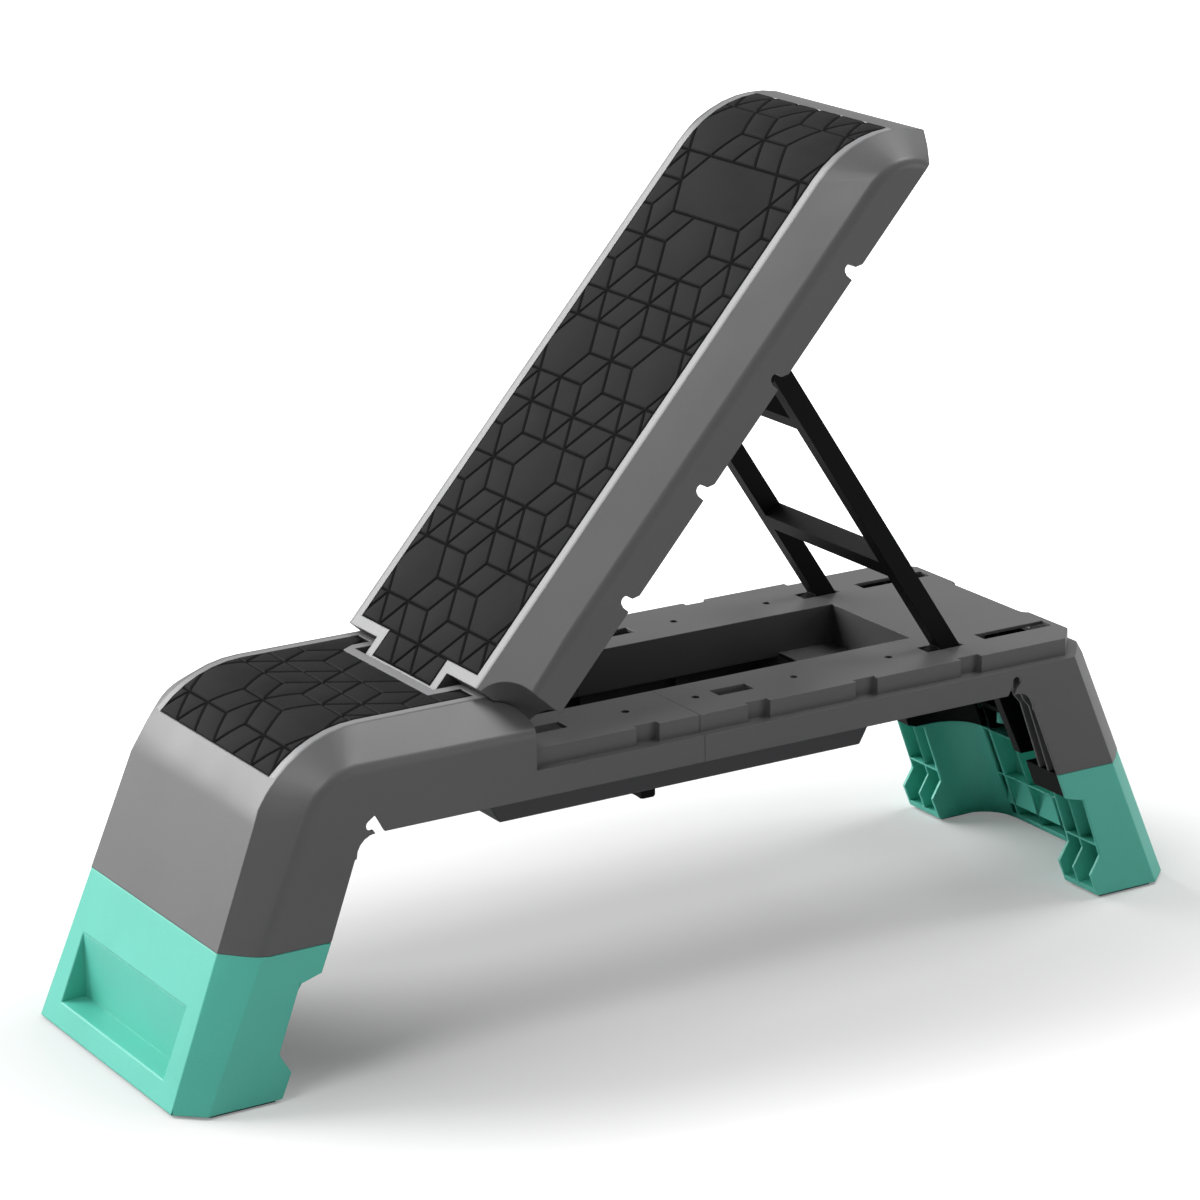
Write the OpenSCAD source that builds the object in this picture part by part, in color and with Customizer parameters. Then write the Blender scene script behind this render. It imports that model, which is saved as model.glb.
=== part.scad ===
// Adjustable aerobic step with a folding backrest, in millimetres.
// The origin is on the floor under the middle of the step. X runs from the
// seat end (negative) to the rear end (positive), Z points up.
// The backrest is drawn flat and then turned up about its hinge.

/* [Body] */
// Half length of the step at the floor
half_length = 602.8; // [594:0.1:610]
// Half width over the side walls
half_width = 172.7; // [170:0.1:176]
// Height of the rim round the mats
top_z = 350; // [346:0.5:354]
// Drop from the rim to where the side walls meet the sloping shoulders
shoulder_drop = 29; // [26:0.5:33]
// Drop from the rim to the rails on top of the deck
rail_drop = 50; // [48:0.5:52]
// Drop from the rails to the ledge that the flat backrest rests on
ledge_drop = 19; // [17:0.5:21]
// Drop from the ledge to the underside of the deck
under_drop = 28; // [26:0.1:29]
// Height of the joint between the fixed ends and the folding legs
foot_z = 152.4; // [150:0.1:153]
// Lean of both end faces from the vertical
end_angle = 21.74; // [21.5:0.01:22]
// Half width of an end face at the floor
face_half = 147.6; // [144:0.1:151]
// Narrowing of an end face with height, as an angle
face_taper = 3.07; // [2.6:0.01:3.4]
// Depth of the corner cut at the floor, along the length
corner_cut = 28; // [24:0.5:32]
// Lean of the side walls' end corners from the vertical
corner_angle = 23.14; // [22.6:0.01:23.6]
// Width of the sloping shoulders beside the flat rim
shoulder_w = 43.2; // [40:0.1:46.5]
// Radius of the bend from the top to an end face
rim_r = 129; // [120:1:138]
// Radius of the bend at the end of a side wall's top edge
side_r = 48; // [42:1:54]

/* [Shells] */
// Wall of the deck and of the legs
wall = 3.5; // [3:0.1:4]
// Thickness of the skin under the mats and of the backrest's sides
skin = 8; // [7.5:0.1:8.4]
// Step from the outer wall in to the raised rails
ledge_in = 9.2; // [9:0.1:10]
// Gap between the front and the rear half of the deck
seam_gap = 0.6; // [0.4:0.1:1]
// Place of the seam along the length
seam_x = -10; // [-14:1:-6]
// Gap between faces that rest on each other
seat_gap = 0.3; // [0.25:0.05:0.4]
// Thickness of the inner ribs
rib = 2.5; // [2:0.1:3]
// Places of the ribs across each end of the deck
end_rib_y = 139; // [137:0.5:141]
// Distance to the next rib across each end
end_rib_step = 15; // [12:0.5:17]

/* [Mats] */
// Width of the bare rim round a mat
rim_width = 12; // [10:0.5:14]
// Depth of a mat's seat
mat_depth = 4.3; // [4:0.1:4.6]
// How far a mat stands above its rim
mat_proud = 0.8; // [0.4:0.1:1.2]
// Gap round a mat's edge
mat_gap = 0.3; // [0.2:0.05:0.5]
// Drop from the rim to a mat's lower edge at the end
mat_drop = 40.5; // [34:0.5:44]

/* [Backrest hinge] */
// Tilt of the backrest as it is shown
tilt = 48.6; // [46:0.1:50]
// Hinge axis in from the seat's end of the step
hinge_in = 352.8; // [351:0.1:355]
// Hinge axis below the rim
hinge_drop = 14; // [13:0.5:15]
// Radius of the backrest's hinge barrel
barrel_r = 14; // [12:0.5:15]
// Radius of the hinge rod
rod_r = 4; // [3.5:0.1:4.5]
// Running clearance of rods and pins, on the radius
fit = 0.05; // [0.03:0.01:0.08]
// Half width of the backrest's hinge tab
tab_half = 71; // [66:0.5:73]
// Half width of the notch in the seat
notch_half = 80; // [78:0.5:84]
// Front edge of the notch in the seat, in front of the hinge
notch_off = 17.5; // [16:0.5:20]
// Rear edge of the seat's rim, behind the hinge
seat_off = 19; // [17:0.5:20]
// Gap between seat and backrest when flat
part_gap = 2; // [1.5:0.1:2.5]
// Radius of the round rear corners of the seat
lobe_r = 30.5; // [28:0.5:33]
// Centre of the seat's round rear corners, behind the hinge
lobe_off = 15; // [12:0.5:17]
// Centre of the seat's round rear corners across the width
lobe_y = 165.5; // [163:0.5:168]
// Width of the seat's hinge lugs
lug_w = 12; // [10:0.5:14]

/* [Well and slots] */
// Half width of the well
well_half = 72.5; // [70:0.5:74]
// Front end of the well, behind the hinge
well_off = 60; // [54:1:66]
// Rear end of the well, behind the prop's pivot
well_end = 5; // [1:1:8]
// Slots and screws, in from the side walls
slot_in = 58.9; // [57.7:0.1:60.2]
// Width of the slots
slot_w = 19; // [18:0.5:20]
// Length of the two short slots on each rail
slot_l = 43; // [36:1:48]
// Front end of the first short slot, behind the hinge
slot_off = 67; // [64:1:70]
// Front end of the second short slot
slot_mid = 39.5; // [36:0.5:44]
// Front end of the long slot, in from the rails' rear end
slot_rear_in = 102; // [98:1:104]
// Length of the long slot at the rear
slot_rear_l = 90; // [85:1:92]
// Distance of the long slot from the middle
slot_rear_y = 110; // [108:0.5:112]
// Rear end of the rails, in from the rear end of the step
rail_in = 124.8; // [124.3:0.5:132.8]
// Length of the rails' cut corners, along the step
rail_cut = 29; // [24:0.5:34]
// Depth of the hand grip in the rear edge
grip_in = 11; // [8:0.5:13]
// Half width of the hand grip in the rear edge
grip_half = 70; // [60:1:80]

/* [Notches] */
// First notch for the prop's rod, behind the hinge
notch_1_off = 173.5; // [170:0.5:176]
// Distance from notch to notch
notch_step = 132.5; // [131.5:0.1:133.5]
// Height of a notch's round seat above the ledge, on the flat backrest
notch_up = 9.5; // [9:0.1:10.5]
// Radius of a notch's round seat
notch_r = 5.8; // [5.75:0.05:6.2]
// Half width of a notch's mouth
notch_mouth = 6.5; // [6.2:0.1:7]
// Width of the hook block inside the side wall
hook_w = 7.5; // [6:0.1:8]
// Length of the hook block behind the notch
hook_l = 17; // [15:0.5:18]
// Height of the hook block above the notch's centre
hook_h = 14.5; // [13:0.5:16]

/* [Prop] */
// Where the middle line of a leg meets the rail's top, behind the pivot
prop_off = 20; // [18:0.5:22]
// Width of a prop leg across the step
prop_w = 17.6; // [16:0.1:18]
// Depth of a prop leg
prop_d = 21.3; // [19:0.1:22]
// Pivot of the prop, in front of the rear leg's hinge
pivot_off = 72; // [71:0.5:73]
// Pivot of the prop below the rails
pivot_drop = 10; // [9:0.5:11]
// Radius of the prop's knuckle
knuckle_r = 9; // [8:0.5:9.5]
// Middle bar of the prop, from the rail up along the leg
bar_1 = 109; // [100:1:120]
// Height of the middle bar
bar_1_h = 20; // [16:0.5:26]
// Upper bar of the prop, from the rail up along the leg
bar_2 = 317.5; // [305:0.5:325]
// Height of the upper bar
bar_2_h = 14.5; // [12:0.5:18]
// How far the top rod lies in front of the legs' middle line
rod_off = 28.45; // [26:0.05:31]
// Length of the prop's legs beyond the top rod
prop_over = 14.2; // [11:0.1:16]
// Radius of the prop's top rod
top_rod_r = 4.5; // [4:0.1:4.9]
// Radius of the sleeves on the top rod
sleeve_r = 5.5; // [5.3:0.05:5.55]
// Length of the sleeves
sleeve_l = 15; // [12:0.5:18]
// Screw of the prop's bracket, in front of the pivot
bracket_screw_off = 52.5; // [49:0.5:55]

/* [Legs] */
// Hinge of each leg, in from its end of the step
leg_in = 221.8; // [221:0.1:223]
// Hinge of each leg above the deck's underside
leg_up = 8.6; // [8.2:0.1:9]
// Radius of the leg axles
axle_r = 4; // [3.5:0.1:4.5]
// Inner face of the leg's arms
arm_y = 80; // [79:0.5:82]
// Thickness of the leg's arms
arm_w = 12; // [10:0.5:13]
// Radius of the arm's boss
boss_r = 11; // [9:0.5:11.5]
// Thickness of the axle lugs under the deck
axle_lug = 6; // [5:0.5:7]
// Half width of the open space between a leg's two sides
leg_open = 115; // [113.5:0.5:118]
// Inner edge of a leg's side at the floor, in from its end of the step
foot_in = 106.8; // [100:0.1:112]
// Inner edge of a leg's side at its top, in from its end of the step
edge_in = 166.3; // [163:0.1:170]
// Thickness of the closed end of a leg
web_in = 30; // [28:0.5:33]
// Radius of the bend between the end and the sides
web_r = 38; // [30:1:40]
// Height of the leg's inner walls, above which the black frame fills it
inner_top = 120.5; // [119:0.5:123]
// Gap between the bend of each end and the black frame inside it
tongue_gap = 0.3; // [0.3:0.1:8]
// Half width of that frame
tongue_half = 118; // [110:0.5:120]
// Thickness of that frame's back plate
tongue_t = 5; // [4:0.5:7]
// Distance from rib to rib inside the legs and their frames
rib_step = 43; // [38:0.5:46]
// Lower edge of the recess in the end face
recess_low = 26; // [22:0.5:30]
// Upper edge of the recess in the end face
recess_high = 94.5; // [88:0.5:100]
// Half width of the recess
recess_half = 115; // [105:0.5:120]
// How far the foot pads stand below the leg
pad_drop = 3; // [1:0.1:4]
// Thickness of the foot pads
pad_t = 5; // [4:0.1:6]
// Step from a leg's edge in to its foot pad
pad_in = 4; // [3:0.5:6]
// Place of the screws between leg and frame, in from the end face
leg_screw_in = 16; // [14:0.5:18]

/* [Tray] */
// Half width of the tray under the deck
tray_half = 110; // [106:0.5:111]
// Middle of the tray along the length
tray_x = 6; // [0:1:9]
// Half length of the tray's floor
tray_l = 217.5; // [205:0.5:222]
// Depth of the tray below the deck
tray_drop = 44; // [39:0.5:47]
// Run of the tray's sloping ends
tray_slope = 25; // [20:1:30]
// Wall of the tray
tray_wall = 3; // [2.5:0.1:3.5]
// Height of the tray's screw ears above the deck's underside
ear_h = 9; // [7:0.5:11]
// Half width of the block under the tray
block_half = 50; // [44:1:56]
// Half length of the block under the tray
block_l = 8.5; // [7.5:0.5:10]
// Depth of the block under the tray
block_drop = 33; // [25:1:39]

/* [Fasteners] */
// Radius of the screw heads
head_r = 3.8; // [3.4:0.1:4]
// Radius of the screw holes in the rails
hole_r = 4.2; // [4.1:0.1:4.6]
// Radius of the screw shanks
shank_r = 2; // [1.8:0.1:2.2]
// Radius of the screw bosses
screw_boss = 8; // [7.5:0.5:8.5]

/* [Hidden] */

GREY = "#6e6e6e";
GREEN = "#63c4ad";
BLACK = "#1b1b1c";
DARK = "#3a3a3b";
RUBBER = "#262627";
STEEL = "#a9acb0";

arc_steps = 9;
sliver = 0.01;
far = 700;
corner_half = 22.5;
through = 1;
screws_x = [-67, 17, 137];
clip_t = 1.5;
clip_r = 7.5;
hinge_clip_r = hinge_drop - skin - seat_gap;
TAPER = tan(face_taper);
side_top = top_z - shoulder_drop;
rim_half = half_width - shoulder_w;
slot_y = half_width - slot_in;
rail_z = top_z - rail_drop;
ledge_z = rail_z - ledge_drop;
under_z = ledge_z - under_drop;
notch_z = ledge_z + notch_up;
pivot_z = rail_z - pivot_drop;
leg_z = under_z + leg_up;
tray_z = under_z - tray_drop;
block_z = tray_z - block_drop;
mat_end_z = top_z - mat_drop;
hinge_x = hinge_in - half_length;
hinge_z = top_z - hinge_drop;
notch_x = hinge_x - notch_off;
seat_end = hinge_x + seat_off;
lobe_x = hinge_x + lobe_off;
well_front = hinge_x + well_off;
slot_front = hinge_x + slot_off;
notch_1 = hinge_x + notch_1_off;
leg_x = half_length - leg_in;
pivot_x = leg_x - pivot_off;
prop_x = pivot_x + prop_off;
well_rear = pivot_x + well_end;
bracket_screw_x = pivot_x - bracket_screw_off;
rail_end = half_length - rail_in;
slot_rear = rail_end - slot_rear_in;

// Line of an end face, moved in by t
function end_x(z, t = 0) = half_length - tan(end_angle) * z - t / cos(end_angle);
// Line where the corner cut meets the side wall, moved in by t
function corner_x(z, t = 0) = half_length - corner_cut - tan(corner_angle) * z
    - t * tan(corner_half) / cos(corner_angle);
// Half width of an end face, moved in by t
function face_y(z, t = 0) = face_half - TAPER * z - t * tan(corner_half);
// How far the corner cut lies behind the end face at a place across the width
function cut_in(z, y) = y <= face_y(z) ? 0
    : (y - face_y(z)) / (half_width - face_y(z)) * (end_x(z) - corner_x(z));

shoulder = [top_z - side_top, half_width - rim_half] / norm([top_z - side_top, half_width - rim_half]);
function rim_y(t) = rim_half + t * (shoulder[1] - 1) / shoulder[0];
function side_z(t) = top_z + (-t - shoulder[0] * (half_width - rim_half - t)) / shoulder[1];

rim_zc = top_z - rim_r;
rim_xc = end_x(rim_zc) - rim_r / cos(end_angle);
rim_low = rim_zc + rim_r * sin(end_angle);
tongue_top = rim_low - tongue_gap;

function side_xc(t) = corner_x(side_z(t) - side_r + t / 2, t) - (side_r - t / 2) / cos(corner_angle);

// Side view along the rim: flat top, bend and end face
function profile_rim(t, x0) = concat(
    [[x0, 0], [x0, top_z - t]],
    [for (i = [0:arc_steps]) let (a = 90 - (90 - end_angle) * i / arc_steps)
        [rim_xc + (rim_r - t) * cos(a), rim_zc + (rim_r - t) * sin(a)]],
    [[end_x(0, t), 0]]);

// Side view at the side wall: lower top edge, small bend and corner line
function profile_side(t, x0) = concat(
    [[x0, 0], [x0, side_z(t)]],
    [for (i = [0:arc_steps]) let (a = 90 - (90 - corner_angle) * i / arc_steps, r = side_r - t / 2)
        [side_xc(t) + r * cos(a), side_z(t) - r + r * sin(a)]],
    [[corner_x(0, t), 0]]);

// Points of an arc
function arc(x, y, r, a0, a1, n) = [for (i = [0:n]) let (a = a0 + (a1 - a0) * i / n)
    [x + r * cos(a), y + r * sin(a)]];

// A side-view outline made solid from y0 to y1
module slab(y0, y1) {
    translate([0, y1, 0]) rotate([90, 0, 0]) linear_extrude(y1 - y0) children();
}

module box(x0, x1, y0, y1, z0, z1) {
    translate([x0, y0, z0]) cube([x1 - x0, y1 - y0, z1 - z0]);
}

module both_sides() {
    children();
    mirror([0, 1, 0]) children();
}

module to_front() {
    mirror([1, 0, 0]) children();
}

module rod(x, z, r, y0, y1) {
    translate([x, y1, z]) rotate([90, 0, 0]) cylinder(r = r, h = y1 - y0, $fn = 48);
}

// Outer form of half a step, moved in by t: end face, cut corners, rim and shoulders
module form(t, x0) {
    hull() {
        slab(-rim_y(t), rim_y(t)) polygon(profile_rim(t, x0));
        slab(t - half_width, half_width - t) polygon(profile_side(t, x0));
        for (z = [0, rim_low])
            translate([end_x(z, t) - sliver, -face_y(z, t), z])
                cube([sliver, 2 * face_y(z, t), sliver]);
    }
}

// Frame that lies in an end face: X out of the face, Z up along it
module on_end() {
    translate([half_length, 0, 0]) rotate([0, -end_angle, 0]) children();
}

// Everything below the deck and inboard of a fixed end, seen from the side
edge_low = half_length - edge_in;
edge_bend_z = under_z - 23;
front_edge = leg_x + 27.6;
rear_edge = leg_x + 23.6;
module below_deck(edge) {
    slab(-far, far) polygon(concat(
        [[-far, -far], [edge_low + tan(end_angle) * foot_z, -far], [edge_low, foot_z], [edge, edge_bend_z]],
        arc(edge - 24, under_z - 22, 22, 0, 90, 5),
        [[-far, under_z]]));
}

// Hooked notch in the deck's side wall over a leg's hinge: middle of its round end and its far edge
hook_z = under_z + 8.5;
hook_r = 5.5;
front_hook = [leg_x + 9, leg_x - 6.5];
rear_hook = [leg_x - 2, under_z + 13.7];
module wall_hook(place) {
    x = place[0];
    e = place[1];
    rod(x, hook_z, hook_r, half_width - skin, half_width + through);
    slab(half_width - skin, half_width + through)
        polygon([[x + 3, hook_z + 4.5], [x - 4, hook_z + 9.5], [e + 8.5, hook_z + 6], [e, under_z - 1],
            [x - 5, under_z - 1], [x - 2, hook_z - 5]]);
}

// Keyhole notch in the rear half's side wall: round end and a slanting slot down from it
module wall_keyhole(place) {
    x = place[0];
    z = place[1];
    rod(x, z, hook_r, half_width - skin, half_width + through);
    slab(half_width - skin, half_width + through)
        polygon([[x - 4, z - 1], [x + 2.5, z - 4], [x - 4, under_z - 1], [x - 11.5, under_z - 1]]);
}

// Lugs that carry a leg's axle, from a height down to the axle
module axle_lugs(z_top) {
    for (y = [arm_y - seat_gap - axle_lug, arm_y + arm_w + seat_gap])
        difference() {
            union() {
                box(leg_x - boss_r, leg_x + boss_r, y, y + axle_lug, leg_z, z_top);
                rod(leg_x, leg_z, boss_r, y, y + axle_lug);
            }
            rod(leg_x, leg_z, axle_r + fit, y - through, y + axle_lug + through);
        }
}

// Long ribs inside a fixed end, one behind the other across the width
module end_ribs() {
    for (y = [end_rib_y, end_rib_y + end_rib_step])
        slab(y, y + rib) polygon([[edge_low, foot_z], [front_edge, edge_bend_z], [leg_x + 6, under_z],
            [leg_x + 6, ledge_z - 1],
            [end_x(ledge_z, wall / 2) - cut_in(ledge_z, y + rib), ledge_z - 1],
            [end_x(foot_z, wall / 2) - cut_in(foot_z, y + rib), foot_z]]);
}

ear_top = under_z + ear_h;
tube_low = ear_top + seat_gap;
module screw_tube(x) {
    translate([x, slot_y, tube_low]) cylinder(r = screw_boss, h = rail_z - wall / 2 - tube_low, $fn = 32);
}

seat_z = tube_low + 2 * wall;
module screw_cut(x) {
    translate([x, slot_y, seat_z]) cylinder(r = hole_r, h = far, $fn = 32);
    translate([x, slot_y, under_z - through]) cylinder(r = shank_r + fit, h = far, $fn = 24);
}

module rail_slot(x, l, y) {
    box(x, x + l, y - slot_w / 2, y + slot_w / 2, under_z - through, rail_z + through);
}

// Raised rails of the rear half, moved in by t: upright sides, cut corners and a soft rear edge
rail_half = half_width - ledge_in;
rail_soft = [[0, 8], [1.5, 3], [5, 0]];
module rail_block(t, x0, z0) {
    intersection() {
        slab(-far, far) polygon(concat([[x0, 0], [x0, rail_z - t]],
            [for (i = [2, 1, 0]) [rail_end - t - rail_soft[i][0], rail_z - t - rail_soft[i][1]]],
            [[rail_end - t, 0]]));
        translate([0, 0, z0]) linear_extrude(rail_z) polygon([[x0, t - rail_half],
            [rail_end - rail_cut - t / 2, t - rail_half], [rail_end - t, t / 2 + rail_cut * 1.15 - rail_half],
            [rail_end - t, rail_half - rail_cut * 1.15 - t / 2], [rail_end - rail_cut - t / 2, rail_half - t],
            [x0, rail_half - t]]);
    }
}

// Walls round the well, from x0 to x1
module well_walls(x0, x1) {
    box(x0, x1, well_half, well_half + wall, under_z, rail_z - wall / 2);
}

module seam_wall(x0, x1) {
    box(x0, x1, well_half, half_width - ledge_in - wall / 2, under_z, rail_z - wall / 2);
}

// Places of the four notches along the flat backrest
notches = [for (i = [0:3]) notch_1 + i * notch_step];
// Seat of the top rod in the third notch of the raised backrest
rod_flat = [notches[2] - hinge_x, notch_z - hinge_z];
rod_at = [hinge_x + rod_flat[0] * cos(tilt) - rod_flat[1] * sin(tilt),
    hinge_z + rod_flat[0] * sin(tilt) + rod_flat[1] * cos(tilt)];
rod_rel = rod_at - [prop_x, rail_z];

// Place in the prop's own plane: u up along a leg, w out of its rear face
prop_angle = atan2(rod_rel[1], -rod_rel[0]) + asin(rod_off / norm(rod_rel));
leg_u = [-cos(prop_angle), sin(prop_angle)];
leg_n = [sin(prop_angle), cos(prop_angle)];
function on_prop(u, w) = [prop_x, rail_z] + u * leg_u + w * leg_n;
rod_u = rod_rel * leg_u;
rod_w = rod_rel * leg_n;
prop_l = rod_u + prop_over;

groove_l = 1.6;

// Grooves in the rail's side for the backrest's hook blocks
module rail_grooves() {
    for (n = notches)
        box(n - notch_mouth - groove_l, n + hook_l + groove_l, half_width - skin - hook_w - part_gap / 2,
            half_width, ledge_z, rail_z + through);
}

// Closed pocket behind each groove
module rail_pockets(from, to) {
    for (n = notches) if (n > from && n < to)
        box(n - notch_mouth - groove_l - wall, n + hook_l + groove_l + wall,
            half_width - skin - hook_w - part_gap / 2 - wall, rail_half - wall / 2, ledge_z - wall,
            rail_z - wall / 2);
}

prop_slot = [pivot_x - knuckle_r - 0.5, prop_x + prop_d / 2 / sin(prop_angle) + 5];
module prop_slot_cut() {
    box(prop_slot[0], prop_slot[1], slot_y - prop_w / 2 - 0.6, slot_y + prop_w / 2 + 0.6,
        rail_z - 3 * wall, rail_z + through);
}

// Front edge of the well's closed rear floor
well_floor_x = tray_x + tray_l + tray_slope - tray_wall;
seam_front = seam_x - seam_gap / 2;
seam_rear = seam_x + seam_gap / 2;

module rear_deck() color(GREY) difference() {
    union() {
        difference() {
            union() {
                intersection() {
                    form(0, seam_rear);
                    box(seam_rear, far, -far, far, foot_z, ledge_z);
                }
                rail_block(0, seam_rear, ledge_z - wall);
            }
            intersection() {
                form(wall, seam_rear - through);
                box(seam_rear - through, far, -far, far, -through, ledge_z - wall);
            }
            rail_block(wall, seam_rear - through, ledge_z - wall - through);
        }
        box(well_rear, well_rear + wall, -well_half - wall, well_half + wall, under_z, rail_z - wall / 2);
        both_sides() {
            well_walls(seam_rear, well_rear + wall);
            seam_wall(seam_rear, seam_rear + wall);
            axle_lugs(rail_z - wall / 2);
            end_ribs();
            for (x = [screws_x[1], screws_x[2]]) screw_tube(x);
            rail_pockets(seam_rear, far);
        }
        box(well_floor_x, well_rear + 1, -well_half - 1, well_half + 1, under_z, under_z + wall);
    }
    below_deck(rear_edge);
    box(seam_rear - through, well_floor_x, -well_half, well_half, -far, far);
    box(well_floor_x - 1, well_rear, -well_half, well_half, under_z + wall, far);
    translate([rail_end - grip_in, 0, 0]) grip_cut();
    both_sides() {
        wall_keyhole(rear_hook);
        rail_slot(slot_mid, slot_l, slot_y);
        rail_slot(slot_rear, slot_rear_l, slot_rear_y);
        rail_grooves();
        prop_slot_cut();
        for (x = [screws_x[1], screws_x[2]]) screw_cut(x);
        translate([bracket_screw_x, slot_y, rail_z - 2 * wall]) cylinder(r = hole_r, h = far, $fn = 32);
    }
}

// Scoop for the hand in the rear edge of the rails
module grip_cut() {
    translate([0, 0, ledge_z]) linear_extrude(far) polygon(concat(
        [[far, -grip_half - 12]], [[grip_in + 12, -grip_half - 12]],
        arc(12, -grip_half + 12, 12, 270, 180, 5), arc(12, grip_half - 12, 12, 180, 90, 5),
        [[grip_in + 12, grip_half + 12]], [[far, grip_half + 12]]));
}

// Plan of the seat behind the hinge line, grown by g
module seat_plan(g) {
    translate([-far, -far]) square([far + seat_end + g, 2 * far]);
    for (s = [-1, 1]) translate([lobe_x, s * lobe_y]) circle(r = lobe_r + g, $fn = 72);
}

// What the seat's rear edge gives up so that the backrest's end can turn past it
module seat_edge_cut() {
    y = lobe_y - lobe_r;
    difference() {
        box(hinge_x, far, -y, y, hinge_z, far);
        rod(hinge_x, hinge_z, back_start - hinge_x - seat_gap, -y - through, y + through);
    }
}

module front_deck() color(GREY) difference() {
    union() {
        difference() {
            union() {
                intersection() {
                    to_front() form(0, -seam_front);
                    union() {
                        box(-far, seam_front, -far, far, foot_z, ledge_z);
                        translate([0, 0, ledge_z - 1]) linear_extrude(far) seat_plan(0);
                    }
                }
                box(seat_end - wall, seam_front, ledge_in - half_width, half_width - ledge_in,
                    ledge_z - wall, rail_z);
            }
            intersection() {
                to_front() form(wall, -seam_front - through);
                box(-far, seam_front + through, -far, far, -through, ledge_z - wall);
            }
            intersection() {
                to_front() form(skin, -seat_end);
                difference() {
                    box(-far, seat_end - skin, -far, far, ledge_z - wall - through, top_z - skin);
                    box(notch_x - skin, far, -notch_half - lug_w, notch_half + lug_w, rail_z - wall, far);
                }
            }
            box(notch_x - skin - through, seam_front + through, ledge_in + wall - half_width,
                half_width - ledge_in - wall, ledge_z - wall - through, rail_z - wall);
        }
        box(well_front - wall, well_front, -well_half - wall, well_half + wall, under_z, rail_z - wall / 2);
        both_sides() {
            well_walls(well_front - wall, seam_front);
            seam_wall(seam_front - wall, seam_front);
            to_front() axle_lugs(top_z - skin + 1);
            to_front() end_ribs();
            screw_tube(screws_x[0]);
            rail_pockets(-far, seam_front);
        }
    }
    to_front() below_deck(front_edge);
    box(well_front, seam_front + through, -well_half, well_half, -far, far);
    box(notch_x, far, -notch_half, notch_half, rail_z + wall, far);
    seat_mat_body(0, 2 * mat_depth);
    seat_edge_cut();
    both_sides() {
        rod(hinge_x, hinge_z, bush_r + fit, notch_half - through, notch_half + lug_w + through);
        to_front() wall_hook(front_hook);
        rail_slot(slot_front, slot_l, slot_y);
        rail_grooves();
        screw_cut(screws_x[0]);
    }
}

// Band that follows the rim's side view, from d below it to p above it
module mat_band(half, d, p, x0) {
    difference() {
        slab(-half, half) polygon(profile_rim(-p, x0));
        slab(-far, far) polygon(profile_rim(d, x0 - through));
        box(-far, far, -far, far, -far, mat_end_z);
    }
}

// Mat of the seat; gap is 0 for the seat's recess and mat_gap for the mat
module seat_mat_body(gap, p) {
    mat_x = seat_end - rim_width;
    to_front() difference() {
        mat_band(rim_half - rim_width - gap, mat_depth, p, -mat_x + gap);
        box(-far, rim_width - notch_x + gap, -notch_half - rim_width - gap, notch_half + rim_width + gap, 0, far);
        box(-far, far, -far, far, -far, mat_end_z + gap);
    }
}

module seat_mat() color(RUBBER) seat_mat_body(mat_gap, mat_proud);

bush_r = rod_r + 2.5;
bush_flange_r = 9;
module hinge_rod() color(STEEL) rod(hinge_x, hinge_z, rod_r, -notch_half - lug_w - 4, notch_half + lug_w + 4);

module hinge_bushes() color(BLACK) both_sides() difference() {
    union() {
        rod(hinge_x, hinge_z, bush_r, notch_half - seat_gap, notch_half + lug_w);
        rod(hinge_x, hinge_z, bush_flange_r, tab_half + seat_gap, notch_half - seat_gap);
    }
    rod(hinge_x, hinge_z, rod_r + fit, tab_half, notch_half + lug_w + through);
}

module clip(x, z, r, y, r_out) {
    difference() {
        rod(x, z, r_out, y, y + clip_t);
        rod(x, z, r + fit / 2, y - through, y + clip_t + through);
    }
}

module hinge_clips() color(STEEL) both_sides()
    clip(hinge_x, hinge_z, rod_r, notch_half + lug_w + seat_gap, hinge_clip_r);

// Turns the flat backrest up about its hinge
module tilted() {
    translate([hinge_x, 0, hinge_z]) rotate([0, -tilt, 0]) translate([-hinge_x, 0, -hinge_z]) children();
}

back_start = seat_end + part_gap;
end_skin = 2;
end_skin_z = top_z - 34;
rest_z = ledge_z + seat_gap;

// Notch with its mouth downwards, seen from the side
module notch_cut(n, y0, y1) {
    rod(n, notch_z, notch_r, y0, y1);
    box(n - notch_mouth, n, y0, y1, 0, notch_z);
    box(n - sliver, n + notch_r, y0, y1, 0, notch_z);
    slab(y0, y1) polygon([[n + notch_r - sliver, rest_z + 5], [n + notch_r + 7, rest_z], [n + notch_r + 7, 0],
        [n + notch_r - sliver, 0]]);
}

module hook_block(n) {
    y = half_width - skin - hook_w;
    difference() {
        box(n, n + hook_l, y, half_width - skin / 2, rest_z, notch_z + hook_h);
        notch_cut(n, y - through, half_width - skin);
    }
}

back_ribs_x = [-140, -20, 100, 220, 340];
back_rib_y = 52;
back_rib_h = 12;
module back_ribs() {
    for (x = back_ribs_x)
        box(x, x + rib, skin - half_width - through, half_width - skin + through, top_z - skin - back_rib_h,
            top_z - skin + 1);
    for (y = [-back_rib_y, back_rib_y])
        box(back_start + 2, rim_xc + rim_r / 2, y - rib / 2, y + rib / 2, top_z - skin - back_rib_h,
            top_z - skin + 1);
}

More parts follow.
